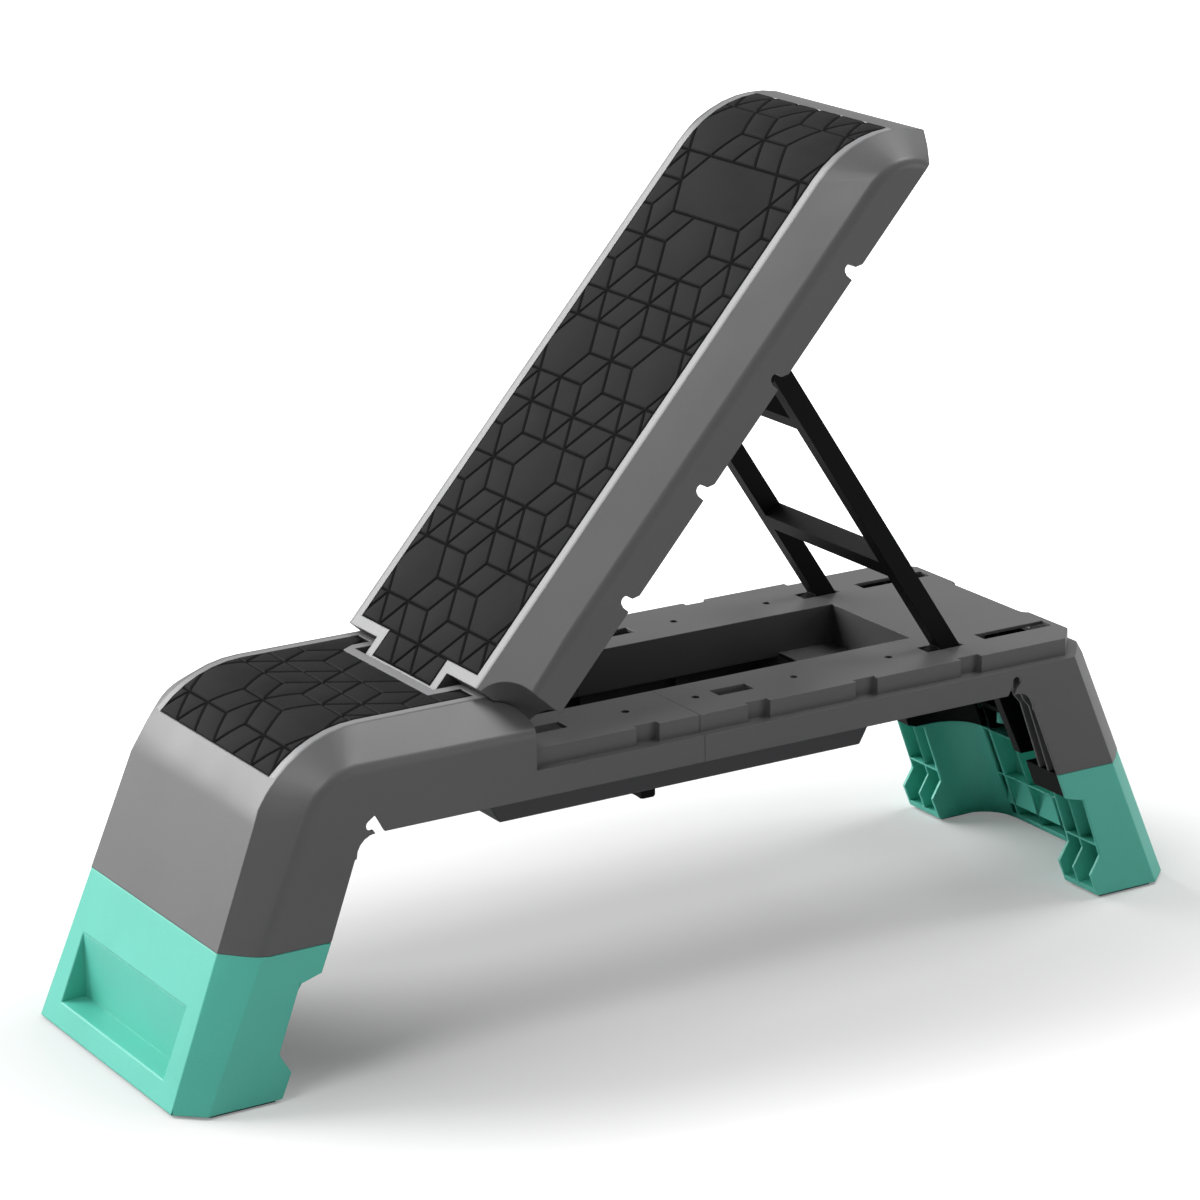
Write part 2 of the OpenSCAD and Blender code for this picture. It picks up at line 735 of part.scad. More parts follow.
module backrest_flat() difference() {
    union() {
        intersection() {
            form(0, back_start);
            union() {
                difference() {
                    box(back_start, far, -far, far, rest_z, far);
                    intersection() {
                        form(end_skin, back_start + skin);
                        box(rail_end - rail_cut - 10, far, part_gap - rail_half, rail_half - part_gap, 0, end_skin_z);
                    }
                    intersection() {
                        form(skin, back_start + skin);
                        difference() {
                            box(back_start + skin, far, -far, far, 0, top_z - skin);
                            linear_extrude(far) for (s = [-1, 1])
                                translate([lobe_x, s * lobe_y]) circle(r = lobe_r + part_gap + skin, $fn = 72);
                        }
                    }
                }
                back_ribs();
                both_sides() for (n = notches) hook_block(n);
            }
        }
        rod(hinge_x, hinge_z, barrel_r, -tab_half, tab_half);
        box(hinge_x, back_start + through, -tab_half, tab_half, hinge_z - barrel_r, hinge_z + barrel_r);
    }
    linear_extrude(far) for (s = [-1, 1])
        translate([lobe_x, s * lobe_y]) circle(r = lobe_r + part_gap, $fn = 72);
    rod(hinge_x, hinge_z, rod_r + fit, -tab_half - through, tab_half + through);
    backrest_mat_body(0, 2 * mat_depth);
    both_sides() for (n = notches) notch_cut(n, half_width - skin, half_width + through);
}

module backrest_shell() color(GREY) tilted() backrest_flat();

tab_mat_x = hinge_x + 2;
module backrest_mat_body(gap, p) {
    mat_band(rim_half - rim_width - gap, mat_depth, p, back_start + rim_width + gap);
    box(tab_mat_x + gap, back_start + rim_width + gap + sliver, rim_width - tab_half + gap,
        tab_half - rim_width - gap, top_z - mat_depth, top_z + p);
}

module backrest_mat() color(RUBBER) tilted() difference() {
    backrest_mat_body(mat_gap, mat_proud);
    box(-far, far, -far, far, -far, mat_end_z + mat_gap);
}

ear_r = 8;

module prop_side() {
    slab(slot_y - prop_w / 2, slot_y + prop_w / 2) difference() {
        union() {
            polygon([on_prop(-14, -prop_d / 2), on_prop(prop_l, -prop_d / 2), on_prop(prop_l, prop_d / 2),
                on_prop(-14, prop_d / 2)]);
            polygon([[pivot_x - 5, pivot_z - 7], [pivot_x - 5, pivot_z + 7], on_prop(8, -prop_d / 2 + 1),
                on_prop(-14, -prop_d / 2 + 1)]);
            translate([pivot_x, pivot_z]) circle(r = knuckle_r, $fn = 48);
            polygon([on_prop(rod_u - 22, -prop_d / 2 + 1), on_prop(rod_u - ear_r, rod_w),
                on_prop(rod_u + ear_r, rod_w), on_prop(prop_l, -prop_d / 2 + 1)]);
            translate(rod_at) circle(r = ear_r, $fn = 48);
        }
        translate([pivot_x, pivot_z]) circle(r = axle_r + fit, $fn = 48);
        translate(rod_at) circle(r = top_rod_r + fit, $fn = 48);
    }
}

module prop_bar(u, h) {
    slab(prop_w / 2 - slot_y - 1, slot_y - prop_w / 2 + 1)
        polygon([on_prop(u, -prop_d / 2), on_prop(u + h, -prop_d / 2), on_prop(u + h, prop_d / 2),
            on_prop(u, prop_d / 2)]);
}

module prop_frame() color(BLACK) {
    both_sides() prop_side();
    prop_bar(bar_1, bar_1_h);
    prop_bar(bar_2, bar_2_h);
}

rod_end = half_width - skin - seat_gap;
module prop_top_rod() color(BLACK) rod(rod_at[0], rod_at[1], top_rod_r, -rod_end, rod_end);

module rod_sleeves() color(RUBBER) both_sides() difference() {
    rod(rod_at[0], rod_at[1], sleeve_r, rod_end - sleeve_l, rod_end);
    rod(rod_at[0], rod_at[1], top_rod_r + fit, rod_end - sleeve_l - through, rod_end + through);
}

cheek = 6.5;
bracket_in = slot_y - prop_w / 2 - seat_gap - cheek;
bracket_out = slot_y + prop_w / 2 + seat_gap + cheek;
bracket_low = pivot_z - 24;
bracket_top = rail_z - wall - seat_gap;
module prop_bracket() {
    difference() {
        box(bracket_screw_x - 12, prop_slot[1] + 3, bracket_in, bracket_out, bracket_low, bracket_top);
        box(pivot_x - knuckle_r - 1.5, prop_slot[1] + 3 + through, bracket_in + cheek, bracket_out - cheek,
            bracket_low + 4, far);
        rod(pivot_x, pivot_z, axle_r + fit, bracket_in - through, bracket_out + through);
        translate([bracket_screw_x, slot_y, bracket_low - through])
            cylinder(r = shank_r + fit, h = far, $fn = 24);
        box(bracket_screw_x + 12, pivot_x - knuckle_r - 5, bracket_in + 3, bracket_out - 3, 0, bracket_top - 6);
    }
}

module prop_bracket_far() color(DARK) prop_bracket();

module prop_bracket_near() color(DARK) mirror([0, 1, 0]) prop_bracket();

module prop_pivot_pins() color(STEEL) both_sides() rod(pivot_x, pivot_z, axle_r, bracket_in - 1, bracket_out + 1);

module screw(x, z_head, z_tip) {
    translate([x, slot_y, z_head]) cylinder(r = head_r, h = 3, $fn = 32);
    translate([x, slot_y, z_tip]) cylinder(r = shank_r, h = z_head - z_tip + sliver, $fn = 24);
}

module bracket_screws() color(STEEL) both_sides()
    screw(bracket_screw_x, bracket_top + sliver, bracket_low + 4);

module tray_screws() color(STEEL) both_sides()
    for (x = screws_x) screw(x, seat_z, under_z + 2);

// Tray in the side view, moved in by t
tray_top = under_z - seat_gap;
function tray_outline(t) = [[tray_x - tray_l + t, tray_z + t], [tray_x + tray_l - t, tray_z + t],
    [tray_x + tray_l + tray_slope - t, tray_top + t], [tray_x - tray_l - tray_slope + t, tray_top + t]];

module tray_ear(x) {
    difference() {
        union() {
            box(x - screw_boss, x + screw_boss, tray_half - 12, tray_half, tray_z + 12, ear_top);
            box(x - screw_boss, x + screw_boss, tray_half - 12, slot_y, under_z + seat_gap, ear_top);
            translate([x, slot_y, under_z + seat_gap]) cylinder(r = screw_boss, h = ear_h - seat_gap, $fn = 32);
        }
        translate([x, slot_y, tray_z]) cylinder(r = shank_r + fit, h = far, $fn = 24);
    }
}

block_x = 0;
module under_tray() color(DARK) {
    difference() {
        slab(-tray_half, tray_half) polygon(tray_outline(0));
        slab(tray_wall - tray_half, tray_half - tray_wall) polygon(tray_outline(tray_wall));
        both_sides() {
            bolt_hole();
            for (x = screws_x)
                translate([x, slot_y, tray_z]) cylinder(r = shank_r + fit, h = far, $fn = 24);
        }
    }
    both_sides() for (x = screws_x) tray_ear(x);
    both_sides() difference() {
        box(block_x - 14, block_x + 14, bolt_y - 12, bolt_y + 12, tray_z + 1, tray_top - 3);
        bolt_hole();
    }
}

bolt_y = 36;
bolt_r = 4;
module bolt_hole() {
    translate([block_x, bolt_y, 0]) cylinder(r = bolt_r + fit, h = far, $fn = 32);
}

module centre_block() color(BLACK) difference() {
    box(block_x - block_l, block_x + block_l, -block_half, block_half, block_z, tray_z - sliver);
    both_sides() {
        bolt_hole();
        translate([block_x, bolt_y, 0]) cylinder(r = 7, h = block_z + 8, $fn = 32);
    }
}

module block_bolts() color(STEEL) both_sides() {
    translate([block_x, bolt_y, block_z + 3]) cylinder(r = 6.5, h = 5 - sliver, $fn = 6);
    translate([block_x, bolt_y, block_z + 5]) cylinder(r = bolt_r, h = tray_top - block_z - 9, $fn = 32);
}

// Zigzag inner edge of a leg's side, seen from the side
foot_back = half_length - foot_in;
foot_edge = [[foot_back, 0], [foot_back - 12, 29], [foot_back, 49], [edge_low + 34.5, 117],
    [edge_low + 11.5, 123.5], [edge_low, foot_z]];
leg_top = foot_z - seat_gap;
module leg_outer() {
    intersection() {
        form(0, leg_x);
        slab(-far, far) polygon(concat([[far, pad_drop]], foot_edge, [[far, foot_z]]));
        box(0, far, -far, far, pad_drop, leg_top);
    }
}

// Plan of the open space between a leg's sides, square to the end face, grown by g
module open_plan(g) {
    r = web_r + g;
    polygon(concat(
        [[-far, -leg_open - g]],
        arc(-web_in - web_r, -leg_open + web_r, r, 270, 360, 6),
        arc(-web_in - web_r, leg_open - web_r, r, 0, 90, 6),
        [[-far, leg_open + g]]));
}

side_rib_y = 140;
side_rows = [8, 60];
web_ribs_y = [-1.5 * rib_step, -rib_step / 2, rib_step / 2, 1.5 * rib_step];
web_row = 60;
module leg_inside() {
    on_end() linear_extrude(far) difference() {
        open_plan(wall);
        open_plan(0);
        translate([-far, web_r - leg_open]) square([2 * far, 2 * (leg_open - web_r)]);
    }
    difference() {
        union() {
            box(0, far, -far, far, inner_top - rib, far);
            box(0, far, -far, far, pad_drop, pad_drop + 2 * wall);
            box(0, far, web_r - leg_open, leg_open - web_r, web_row, web_row + rib);
            both_sides() {
                box(0, far, side_rib_y, side_rib_y + rib, 0, far);
                for (z = side_rows) box(0, far, leg_open, far, z, z + rib);
            }
            for (y = web_ribs_y) box(0, far, y - rib / 2, y + rib / 2, 0, far);
            slab(-recess_half - wall, recess_half + wall) polygon([[recess_x - wall, recess_low - wall],
                [far, recess_low - wall], [far, recess_high + wall], [recess_x - wall, recess_high + wall]]);
        }
        on_end() translate([0, 0, -far]) linear_extrude(3 * far) open_plan(0);
    }
}

leg_screws_y = [43, 97];
leg_screw_x = end_x(foot_z, leg_screw_in);
module leg_boss(y, r) {
    translate([leg_screw_x, y, foot_z - 18]) cylinder(r = r, h = 40, $fn = 32);
}

// Posts that the frame is screwed down on, tied to the end wall by a rib, grown by g
post_low = foot_z - 18;
module leg_posts(g) {
    low = g > 0 ? 0 : post_low;
    high = leg_top - 1 - seat_gap + g;
    both_sides() for (y = leg_screws_y) {
        translate([leg_screw_x, y, low]) cylinder(r = screw_boss - 2 + g, h = high - low, $fn = 32);
        box(leg_screw_x, far, y - rib / 2 - g, y + rib / 2 + g, low, high);
    }
}

recess_x = end_x(recess_high);
module leg() color(GREEN) difference() {
    union() {
        difference() {
            leg_outer();
            form(wall, 0);
        }
        intersection() {
            leg_outer();
            leg_inside();
            box(0, far, -far, far, 0, inner_top);
        }
        intersection() {
            leg_outer();
            leg_posts(0);
        }
    }
    slab(-recess_half, recess_half) polygon([[recess_x, recess_low], [far, recess_low], [far, recess_high],
        [recess_x, recess_high]]);
    both_sides() {
        pad_body(seat_gap, pad_drop - through);
        for (y = leg_screws_y) leg_boss(y, shank_r + fit);
    }
}

module rear_leg() leg();

module front_leg() to_front() leg();

frame_t = wall + seat_gap;
frame_base = 4;
frame_deep = 24;
frame_low = inner_top + seat_gap;

// The frame's part inside the leg's skin, seen from the side, moved in by t
module frame_zone(t) {
    slab(-far, far) polygon([[far, frame_low + t], [edge_low + 22 + t, frame_low + t],
        [edge_low + 12.5 + t, 123.5 + t / 2], [edge_low + 1 + t, leg_top - t], [far, leg_top - t]]);
}

module frame_box() {
    intersection() {
        form(frame_t, leg_x);
        frame_zone(0);
        difference() {
            union() {
                on_end() linear_extrude(far) difference() {
                    open_plan(wall);
                    open_plan(0);
                    translate([-far, web_r - leg_open]) square([2 * far, 2 * (leg_open - web_r)]);
                }
                both_sides() {
                    difference() {
                        box(0, far, leg_open - 2, far, 0, far);
                        frame_zone(wall);
                    }
                    box(0, far, side_rib_y, side_rib_y + rib, 0, far);
                }
            }
            on_end() translate([0, 0, -far]) linear_extrude(3 * far) open_plan(0);
        }
    }
}

module leg_frame() color(BLACK) difference() {
    union() {
        frame_box();
        intersection() {
            union() {
                on_end() translate([-frame_t - tongue_t, -tongue_half, 0]) cube([tongue_t, 2 * tongue_half, far]);
                for (y = web_ribs_y) on_end() translate([-frame_t - frame_deep, y - rib / 2, 0])
                    cube([frame_deep - 1, rib, far]);
            }
            box(0, far, -far, far, frame_low, tongue_top);
        }
        box(end_x(foot_z, web_in - 1), end_x(foot_z + frame_base, frame_t + 1), -tongue_half, tongue_half,
            leg_top - 1, foot_z + frame_base);
        both_sides() leg_arm();
    }
    leg_posts(seat_gap);
    both_sides() {
        rod(leg_x, leg_z, axle_r + fit, arm_y - through, arm_y + arm_w + through);
        for (y = leg_screws_y) leg_boss(y, shank_r + fit);
        for (y = leg_screws_y) translate([leg_screw_x, y, foot_z + frame_base])
            cylinder(r = head_r + 1, h = 6, $fn = 32);
    }
}

module leg_arm() {
    t = frame_t + tongue_t / 2;
    slab(arm_y, arm_y + arm_w) polygon([[leg_x + 2, leg_z - boss_r + 1], [leg_x - 3, leg_z + boss_r - 1],
        [end_x(tongue_top - 3, t), tongue_top - 3], [end_x(leg_top, t), leg_top - 1],
        [edge_low + 12, leg_top - 1], [front_edge + 4, edge_bend_z]]);
    rod(leg_x, leg_z, boss_r, arm_y, arm_y + arm_w);
}

module rear_leg_frame() leg_frame();

module front_leg_frame() to_front() leg_frame();

module leg_screws() color(STEEL) both_sides() for (y = leg_screws_y) {
    translate([leg_screw_x, y, foot_z + frame_base + sliver]) cylinder(r = head_r, h = 3, $fn = 32);
    translate([leg_screw_x, y, foot_z - 14]) cylinder(r = shank_r, h = 14 + frame_base + 2 * sliver, $fn = 24);
}

module rear_leg_screws() leg_screws();

module front_leg_screws() to_front() leg_screws();

// Foot pad in the sole of a leg's side, grown by g
pad_x0 = foot_edge[0][0] + pad_in;
pad_x1 = end_x(0) - pad_in - wall;
module pad_body(g, z0) {
    y0 = leg_open + pad_in - g;
    y1 = half_width - pad_in + g;
    y2 = face_half - pad_in + g;
    translate([0, 0, z0]) linear_extrude(pad_t + g - z0) polygon([[pad_x0 - g, y0], [pad_x1 + g, y0],
        [pad_x1 + g, y2], [pad_x1 - corner_cut + g, y1], [pad_x0 - g, y1]]);
}

module foot_pads() color(RUBBER) both_sides() pad_body(0, 0);

module rear_foot_pads() foot_pads();

module front_foot_pads() to_front() foot_pads();

axle_end = arm_y + arm_w + seat_gap + axle_lug + 3;
module rear_axle() color(STEEL) rod(leg_x, leg_z, axle_r, -axle_end, axle_end);

module front_axle() color(STEEL) rod(-leg_x, leg_z, axle_r, -axle_end, axle_end);

module axle_clips() color(STEEL) for (x = [-leg_x, leg_x]) both_sides()
    clip(x, leg_z, axle_r, axle_end - 3 + seat_gap, clip_r);

front_deck();
rear_deck();
under_tray();
centre_block();
tray_screws();
block_bolts();
seat_mat();
hinge_rod();
hinge_bushes();
hinge_clips();
backrest_shell();
backrest_mat();
prop_frame();
prop_top_rod();
rod_sleeves();
prop_pivot_pins();
prop_bracket_near();
prop_bracket_far();
bracket_screws();
front_leg();
rear_leg();
front_leg_frame();
rear_leg_frame();
front_leg_screws();
rear_leg_screws();
front_axle();
rear_axle();
axle_clips();
front_foot_pads();
rear_foot_pads();
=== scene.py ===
"""Dressed model of an adjustable aerobic step with a folding backrest.

Shells, legs and frames stand where the CAD has them: merged copies of them get
rounded edges, the two mats are laid out tile by tile on a triangular lattice,
and the fasteners get their real heads.
"""

import logging
import math
from dataclasses import dataclass, field
from enum import Enum
from typing import Any, Iterable, Optional

import bmesh
import bpy
from mathutils import Matrix, Vector
from mathutils.bvhtree import BVHTree

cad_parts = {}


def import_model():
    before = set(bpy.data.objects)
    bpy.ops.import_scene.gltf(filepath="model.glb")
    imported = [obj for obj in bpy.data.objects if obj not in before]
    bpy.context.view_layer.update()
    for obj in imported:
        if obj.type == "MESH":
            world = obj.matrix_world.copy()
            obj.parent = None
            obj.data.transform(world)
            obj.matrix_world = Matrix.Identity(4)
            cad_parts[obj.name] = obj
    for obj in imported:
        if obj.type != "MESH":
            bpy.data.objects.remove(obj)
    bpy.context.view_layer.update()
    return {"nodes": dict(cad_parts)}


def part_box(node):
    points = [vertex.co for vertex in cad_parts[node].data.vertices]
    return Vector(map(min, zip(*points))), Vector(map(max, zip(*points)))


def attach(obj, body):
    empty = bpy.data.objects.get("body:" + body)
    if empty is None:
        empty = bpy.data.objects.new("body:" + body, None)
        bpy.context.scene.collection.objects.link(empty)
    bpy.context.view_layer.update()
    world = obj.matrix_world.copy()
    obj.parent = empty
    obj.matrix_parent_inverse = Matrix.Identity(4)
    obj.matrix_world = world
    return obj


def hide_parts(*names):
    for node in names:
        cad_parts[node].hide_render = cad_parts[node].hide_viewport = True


LOG = logging.getLogger("aerobic_step")
MM = 0.001
# Points closer than this, in metres, are one point
MERGE = 2e-6
# The backrest is shaped lying flat and then raised about its hinge
HINGE = Vector((-0.250, 0.0, 0.336))
TILT = Matrix.Rotation(math.radians(-48.6), 4, "Y")
RAISED = Matrix.Translation(HINGE) @ TILT @ Matrix.Translation(-HINGE)
# Most values of a noise texture lie between these
NOISE_SPAN = (0.3, 0.7)

Span = tuple[float, float]
Triple = tuple[float, float, float]
Tree = bpy.types.NodeTree
Node = bpy.types.Node
Socket = bpy.types.NodeSocket
Form = bmesh.types.BMesh
Edge = bmesh.types.BMEdge
Face = bmesh.types.BMFace


class Body(Enum):
    """Rigid bodies of the step, named as in the CAD."""

    DECK = "deck"
    BACKREST = "backrest"
    PROP = "prop"
    FRONT_SUPPORT = "front_support"
    REAR_SUPPORT = "rear_support"


class Slot(Enum):
    """Material slots of the record."""

    GREY = "grey_shell"
    GREEN = "green_shell"
    BLACK = "black_plastic"
    DARK = "dark_plastic"
    MAT = "mat_rubber"
    PAD = "pad_rubber"
    STEEL = "steel"


def linear(colour: str) -> tuple[float, float, float, float]:
    """Turn an sRGB hex colour into linear light.

    Args:
        colour: a hash and six hex digits.

    Returns:
        Linear red, green and blue, and an alpha of one.
    """
    parts = [int(colour[i : i + 2], 16) / 255 for i in (1, 3, 5)]
    light = [c / 12.92 if c <= 0.04045 else ((c + 0.055) / 1.055) ** 2.4 for c in parts]
    return (light[0], light[1], light[2], 1.0)


def scale_of(size_mm: float) -> float:
    """Texture scale at which a pattern repeats every size_mm on the object."""
    return 1.0 / (size_mm * MM)


def add_node(tree: Tree, kind: str, sockets: Optional[dict] = None, **settings: Any) -> Node:
    """Add one node with its settings, values and links.

    Args:
        tree: the tree that gets the node.
        kind: the node's type name.
        sockets: input name or number to a value, or to the output linked to it.
        settings: the node's own properties.

    Returns:
        The new node.
    """
    node = tree.nodes.new(kind)
    for name, value in settings.items():
        setattr(node, name, value)
    for key, value in (sockets or {}).items():
        if isinstance(value, Socket):
            tree.links.new(value, node.inputs[key])
        else:
            node.inputs[key].default_value = value
    return node


def set_inputs(modifier: bpy.types.NodesModifier, values: dict) -> None:
    """Set a geometry tree's inputs by their sockets' identifiers.

    Args:
        modifier: a modifier that already has its tree.
        values: the inputs' names and their values.
    """
    for item in modifier.node_group.interface.items_tree:
        if item.item_type == "SOCKET" and item.name in values:
            modifier[item.identifier] = values[item.name]


# Finishes


@dataclass(frozen=True)
class Finish:
    """A finish: its name, the colour of its body and the shader's constants."""

    name: str
    colour: str
    roughness: float
    metallic: float = 0.0
    specular: float = 0.5

    def detail(self, tree: Tree) -> dict:
        """Shader inputs that vary over the surface; a plain finish has none."""
        return {}

    def build(self) -> bpy.types.Material:
        """Make the material.

        Returns:
            A new material with one Principled shader.
        """
        material = bpy.data.materials.new(self.name)
        material.use_nodes = True
        tree = material.node_tree
        tree.nodes.clear()
        sockets = {
            "Base Color": linear(self.colour),
            "Roughness": self.roughness,
            "Metallic": self.metallic,
            "Specular IOR Level": self.specular,
            **self.detail(tree),
        }
        shader = add_node(tree, "ShaderNodeBsdfPrincipled", sockets)
        add_node(tree, "ShaderNodeOutputMaterial", {"Surface": shader.outputs[0]})
        material.diffuse_color = linear(self.colour)
        return material


@dataclass(frozen=True)
class MouldedPlastic(Finish):
    """Injection-moulded plastic with a spark-eroded grain and faint flow marks.

    The real grain is finer than a pixel, so it is drawn coarser, to show as a
    faint life in the sheen.
    """

    grain_mm: float = 1.6
    grain_depth_mm: float = 0.02
    grain_shade: float = 0.03
    flow_mm: float = 90.0
    flow_stretch: Triple = (0.45, 1.0, 1.0)
    flow_span: Span = (0.25, 0.75)
    flow_shade: float = 0.05
    gloss_spread: float = 0.05
    corner_mm: float = 1.4

    def tint(self, tree: Tree, place: Socket) -> Any:
        """Colour of the plastic before grain and flow marks, the same all over."""
        return linear(self.colour)[:3]

    def detail(self, tree: Tree) -> dict:
        """Add grain, flow marks and uneven gloss.

        Args:
            tree: the material's tree.

        Returns:
            The shader's inputs and the outputs that they are linked to.
        """
        place = add_node(tree, "ShaderNodeTexCoord").outputs["Object"]
        drawn = add_node(tree, "ShaderNodeMapping", {"Vector": place, "Scale": self.flow_stretch})
        sockets = {"Vector": drawn.outputs[0], "Scale": scale_of(self.flow_mm), "Detail": 3.0}
        flow = add_node(tree, "ShaderNodeTexNoise", sockets).outputs["Fac"]
        sockets = {"Vector": place, "Scale": scale_of(self.grain_mm), "Detail": 2.0, "Roughness": 0.6}
        grain = add_node(tree, "ShaderNodeTexNoise", sockets).outputs["Fac"]
        spread = []
        for value, span, middle, reach in (
            (flow, self.flow_span, 1.0, self.flow_shade),
            (grain, NOISE_SPAN, 1.0, self.grain_shade),
            (flow, NOISE_SPAN, self.roughness, self.gloss_spread),
        ):
            sockets = {"Value": value, "From Min": span[0], "From Max": span[1]}
            sockets |= {"To Min": middle - reach, "To Max": middle + reach}
            spread.append(add_node(tree, "ShaderNodeMapRange", sockets).outputs[0])
        marks, fleck, gloss = spread
        both = add_node(tree, "ShaderNodeMath", {0: marks, 1: fleck}, operation="MULTIPLY")
        sockets = {0: self.tint(tree, place), "Scale": both.outputs[0]}
        shaded = add_node(tree, "ShaderNodeVectorMath", sockets, operation="SCALE")
        corner = add_node(tree, "ShaderNodeBevel", {"Radius": self.corner_mm * MM}, samples=4)
        sockets = {"Height": grain, "Distance": self.grain_depth_mm * MM, "Normal": corner.outputs[0]}
        bump = add_node(tree, "ShaderNodeBump", sockets)
        return {"Base Color": shaded.outputs[0], "Roughness": gloss, "Normal": bump.outputs[0]}


@dataclass(frozen=True)
class RimPaintedHighlight(MouldedPlastic):
    """The same grey plastic, smoother, with a painted highlight beside a mat that fades out into the
    grained plastic.
    """

    outer: str = "#5c5c5d"
    # Across the step: where the painted highlight starts to fade, and where it has gone
    highlight_fade_from_mm: float = 124.5
    highlight_fade_to_mm: float = 128.5

    def tint(self, tree: Tree, place: Socket) -> Socket:
        """Painted highlight: pale beside the mat, fading to grey at the rim's outer edge.

        Args:
            tree: the material's tree.
            place: object coordinates.

        Returns:
            The output with the colour.
        """
        across = add_node(tree, "ShaderNodeSeparateXYZ", {0: place}).outputs["Y"]
        side = add_node(tree, "ShaderNodeMath", {0: across}, operation="ABSOLUTE").outputs[0]
        sockets = {"Value": side, "From Min": self.highlight_fade_from_mm * MM, "From Max": self.highlight_fade_to_mm * MM}
        share = add_node(tree, "ShaderNodeMapRange", sockets, interpolation_type="SMOOTHSTEP").outputs[0]
        sockets = {"Factor": share, "A": linear(self.colour), "B": linear(self.outer)}
        return add_node(tree, "ShaderNodeMix", sockets, data_type="RGBA").outputs["Result"]


@dataclass(frozen=True)
class MouldedRubber(Finish):
    """Moulded rubber: dull, with a fine pebble and faint dusty patches.

    The real pebble is too fine to show, so it is drawn coarser.
    """

    pebble_mm: float = 2.6
    pebble_depth_mm: float = 0.05
    dust_mm: float = 60.0
    dust: float = 0.12

    def detail(self, tree: Tree) -> dict:
        """Add the pebble and the dusty patches.

        Args:
            tree: the material's tree.

        Returns:
            The shader's inputs and the outputs that they are linked to.
        """
        place = add_node(tree, "ShaderNodeTexCoord").outputs["Object"]
        sockets = {"Vector": place, "Scale": scale_of(self.pebble_mm), "Randomness": 1.0}
        pebble = add_node(tree, "ShaderNodeTexVoronoi", sockets, feature="SMOOTH_F1").outputs["Distance"]
        bump = add_node(tree, "ShaderNodeBump", {"Height": pebble, "Distance": self.pebble_depth_mm * MM})
        sockets = {"Vector": place, "Scale": scale_of(self.dust_mm), "Detail": 4.0, "Roughness": 0.6}
        patch = add_node(tree, "ShaderNodeTexNoise", sockets).outputs["Fac"]
        sockets = {"Value": patch, "From Min": NOISE_SPAN[0], "From Max": NOISE_SPAN[1]}
        sockets |= {"To Min": 1.0 - self.dust, "To Max": 1.0 + self.dust}
        dusty = add_node(tree, "ShaderNodeMapRange", sockets).outputs[0]
        sockets = {0: linear(self.colour)[:3], "Scale": dusty}
        shaded = add_node(tree, "ShaderNodeVectorMath", sockets, operation="SCALE")
        return {"Base Color": shaded.outputs[0], "Normal": bump.outputs[0]}


@dataclass(frozen=True)
class PlatedSteel(Finish):
    """Zinc-plated steel with fine drawing lines along its length across the step.

    The real lines are finer than a pixel, so they are drawn coarser.
    """

    line_mm: float = 0.8
    line_depth_mm: float = 0.01
    line_stretch: Triple = (1.0, 0.05, 1.0)
    cloud_mm: float = 7.0
    clearer: float = 0.08
    duller: float = 0.1

    def detail(self, tree: Tree) -> dict:
        """Add the drawing lines and the cloudy plating.

        Args:
            tree: the material's tree.

        Returns:
            The shader's inputs and the outputs that they are linked to.
        """
        place = add_node(tree, "ShaderNodeTexCoord").outputs["Object"]
        drawn = add_node(tree, "ShaderNodeMapping", {"Vector": place, "Scale": self.line_stretch})
        sockets = {"Vector": drawn.outputs[0], "Scale": scale_of(self.line_mm), "Detail": 2.0}
        lines = add_node(tree, "ShaderNodeTexNoise", sockets).outputs["Fac"]
        bump = add_node(tree, "ShaderNodeBump", {"Height": lines, "Distance": self.line_depth_mm * MM})
        sockets = {"Vector": place, "Scale": scale_of(self.cloud_mm), "Detail": 3.0}
        cloud = add_node(tree, "ShaderNodeTexNoise", sockets).outputs["Fac"]
        sockets = {"Value": cloud, "From Min": NOISE_SPAN[0], "From Max": NOISE_SPAN[1]}
        sockets |= {"To Min": self.roughness - self.clearer, "To Max": self.roughness + self.duller}
        gloss = add_node(tree, "ShaderNodeMapRange", sockets).outputs[0]
        return {"Roughness": gloss, "Normal": bump.outputs[0]}


@dataclass(frozen=True)
class StudioPaper(Finish):
    """Seamless white paper under the step, with a painted glow that whitens it, shadow and all, away from
    the step.
    """

    # Painted light: strength of the glow near the step
    painted_glow_near: float = 0.16
    near_m: float = 0.42
    far_m: float = 1.9
    # Stretches across the step the oval inside which the painted glow stays weak
    spread: Triple = (1.0, 2.1, 1.0)

    def detail(self, tree: Tree) -> dict:
        """Paint a white glow onto the paper that only the camera sees.

        It is weak near the step, so that its shadow shows, and full far off, where it paints the shadow
        out.

        Args:
            tree: the material's tree.

        Returns:
            The shader's inputs and the outputs that they are linked to.
        """
        place = add_node(tree, "ShaderNodeTexCoord").outputs["Object"]
        oval = add_node(tree, "ShaderNodeVectorMath", {0: place, 1: self.spread}, operation="MULTIPLY")
        away = add_node(tree, "ShaderNodeVectorMath", {0: oval.outputs[0]}, operation="LENGTH")
        sockets = {"Value": away.outputs["Value"], "From Min": self.near_m, "From Max": self.far_m}
        sockets |= {"To Min": self.painted_glow_near, "To Max": 1.0}
        level = add_node(tree, "ShaderNodeMapRange", sockets, interpolation_type="SMOOTHSTEP").outputs[0]
        seen = add_node(tree, "ShaderNodeLightPath").outputs["Is Camera Ray"]
        glow = add_node(tree, "ShaderNodeMath", {0: level, 1: seen}, operation="MULTIPLY")
        return {"Emission Color": linear("#ffffff"), "Emission Strength": glow.outputs[0]}


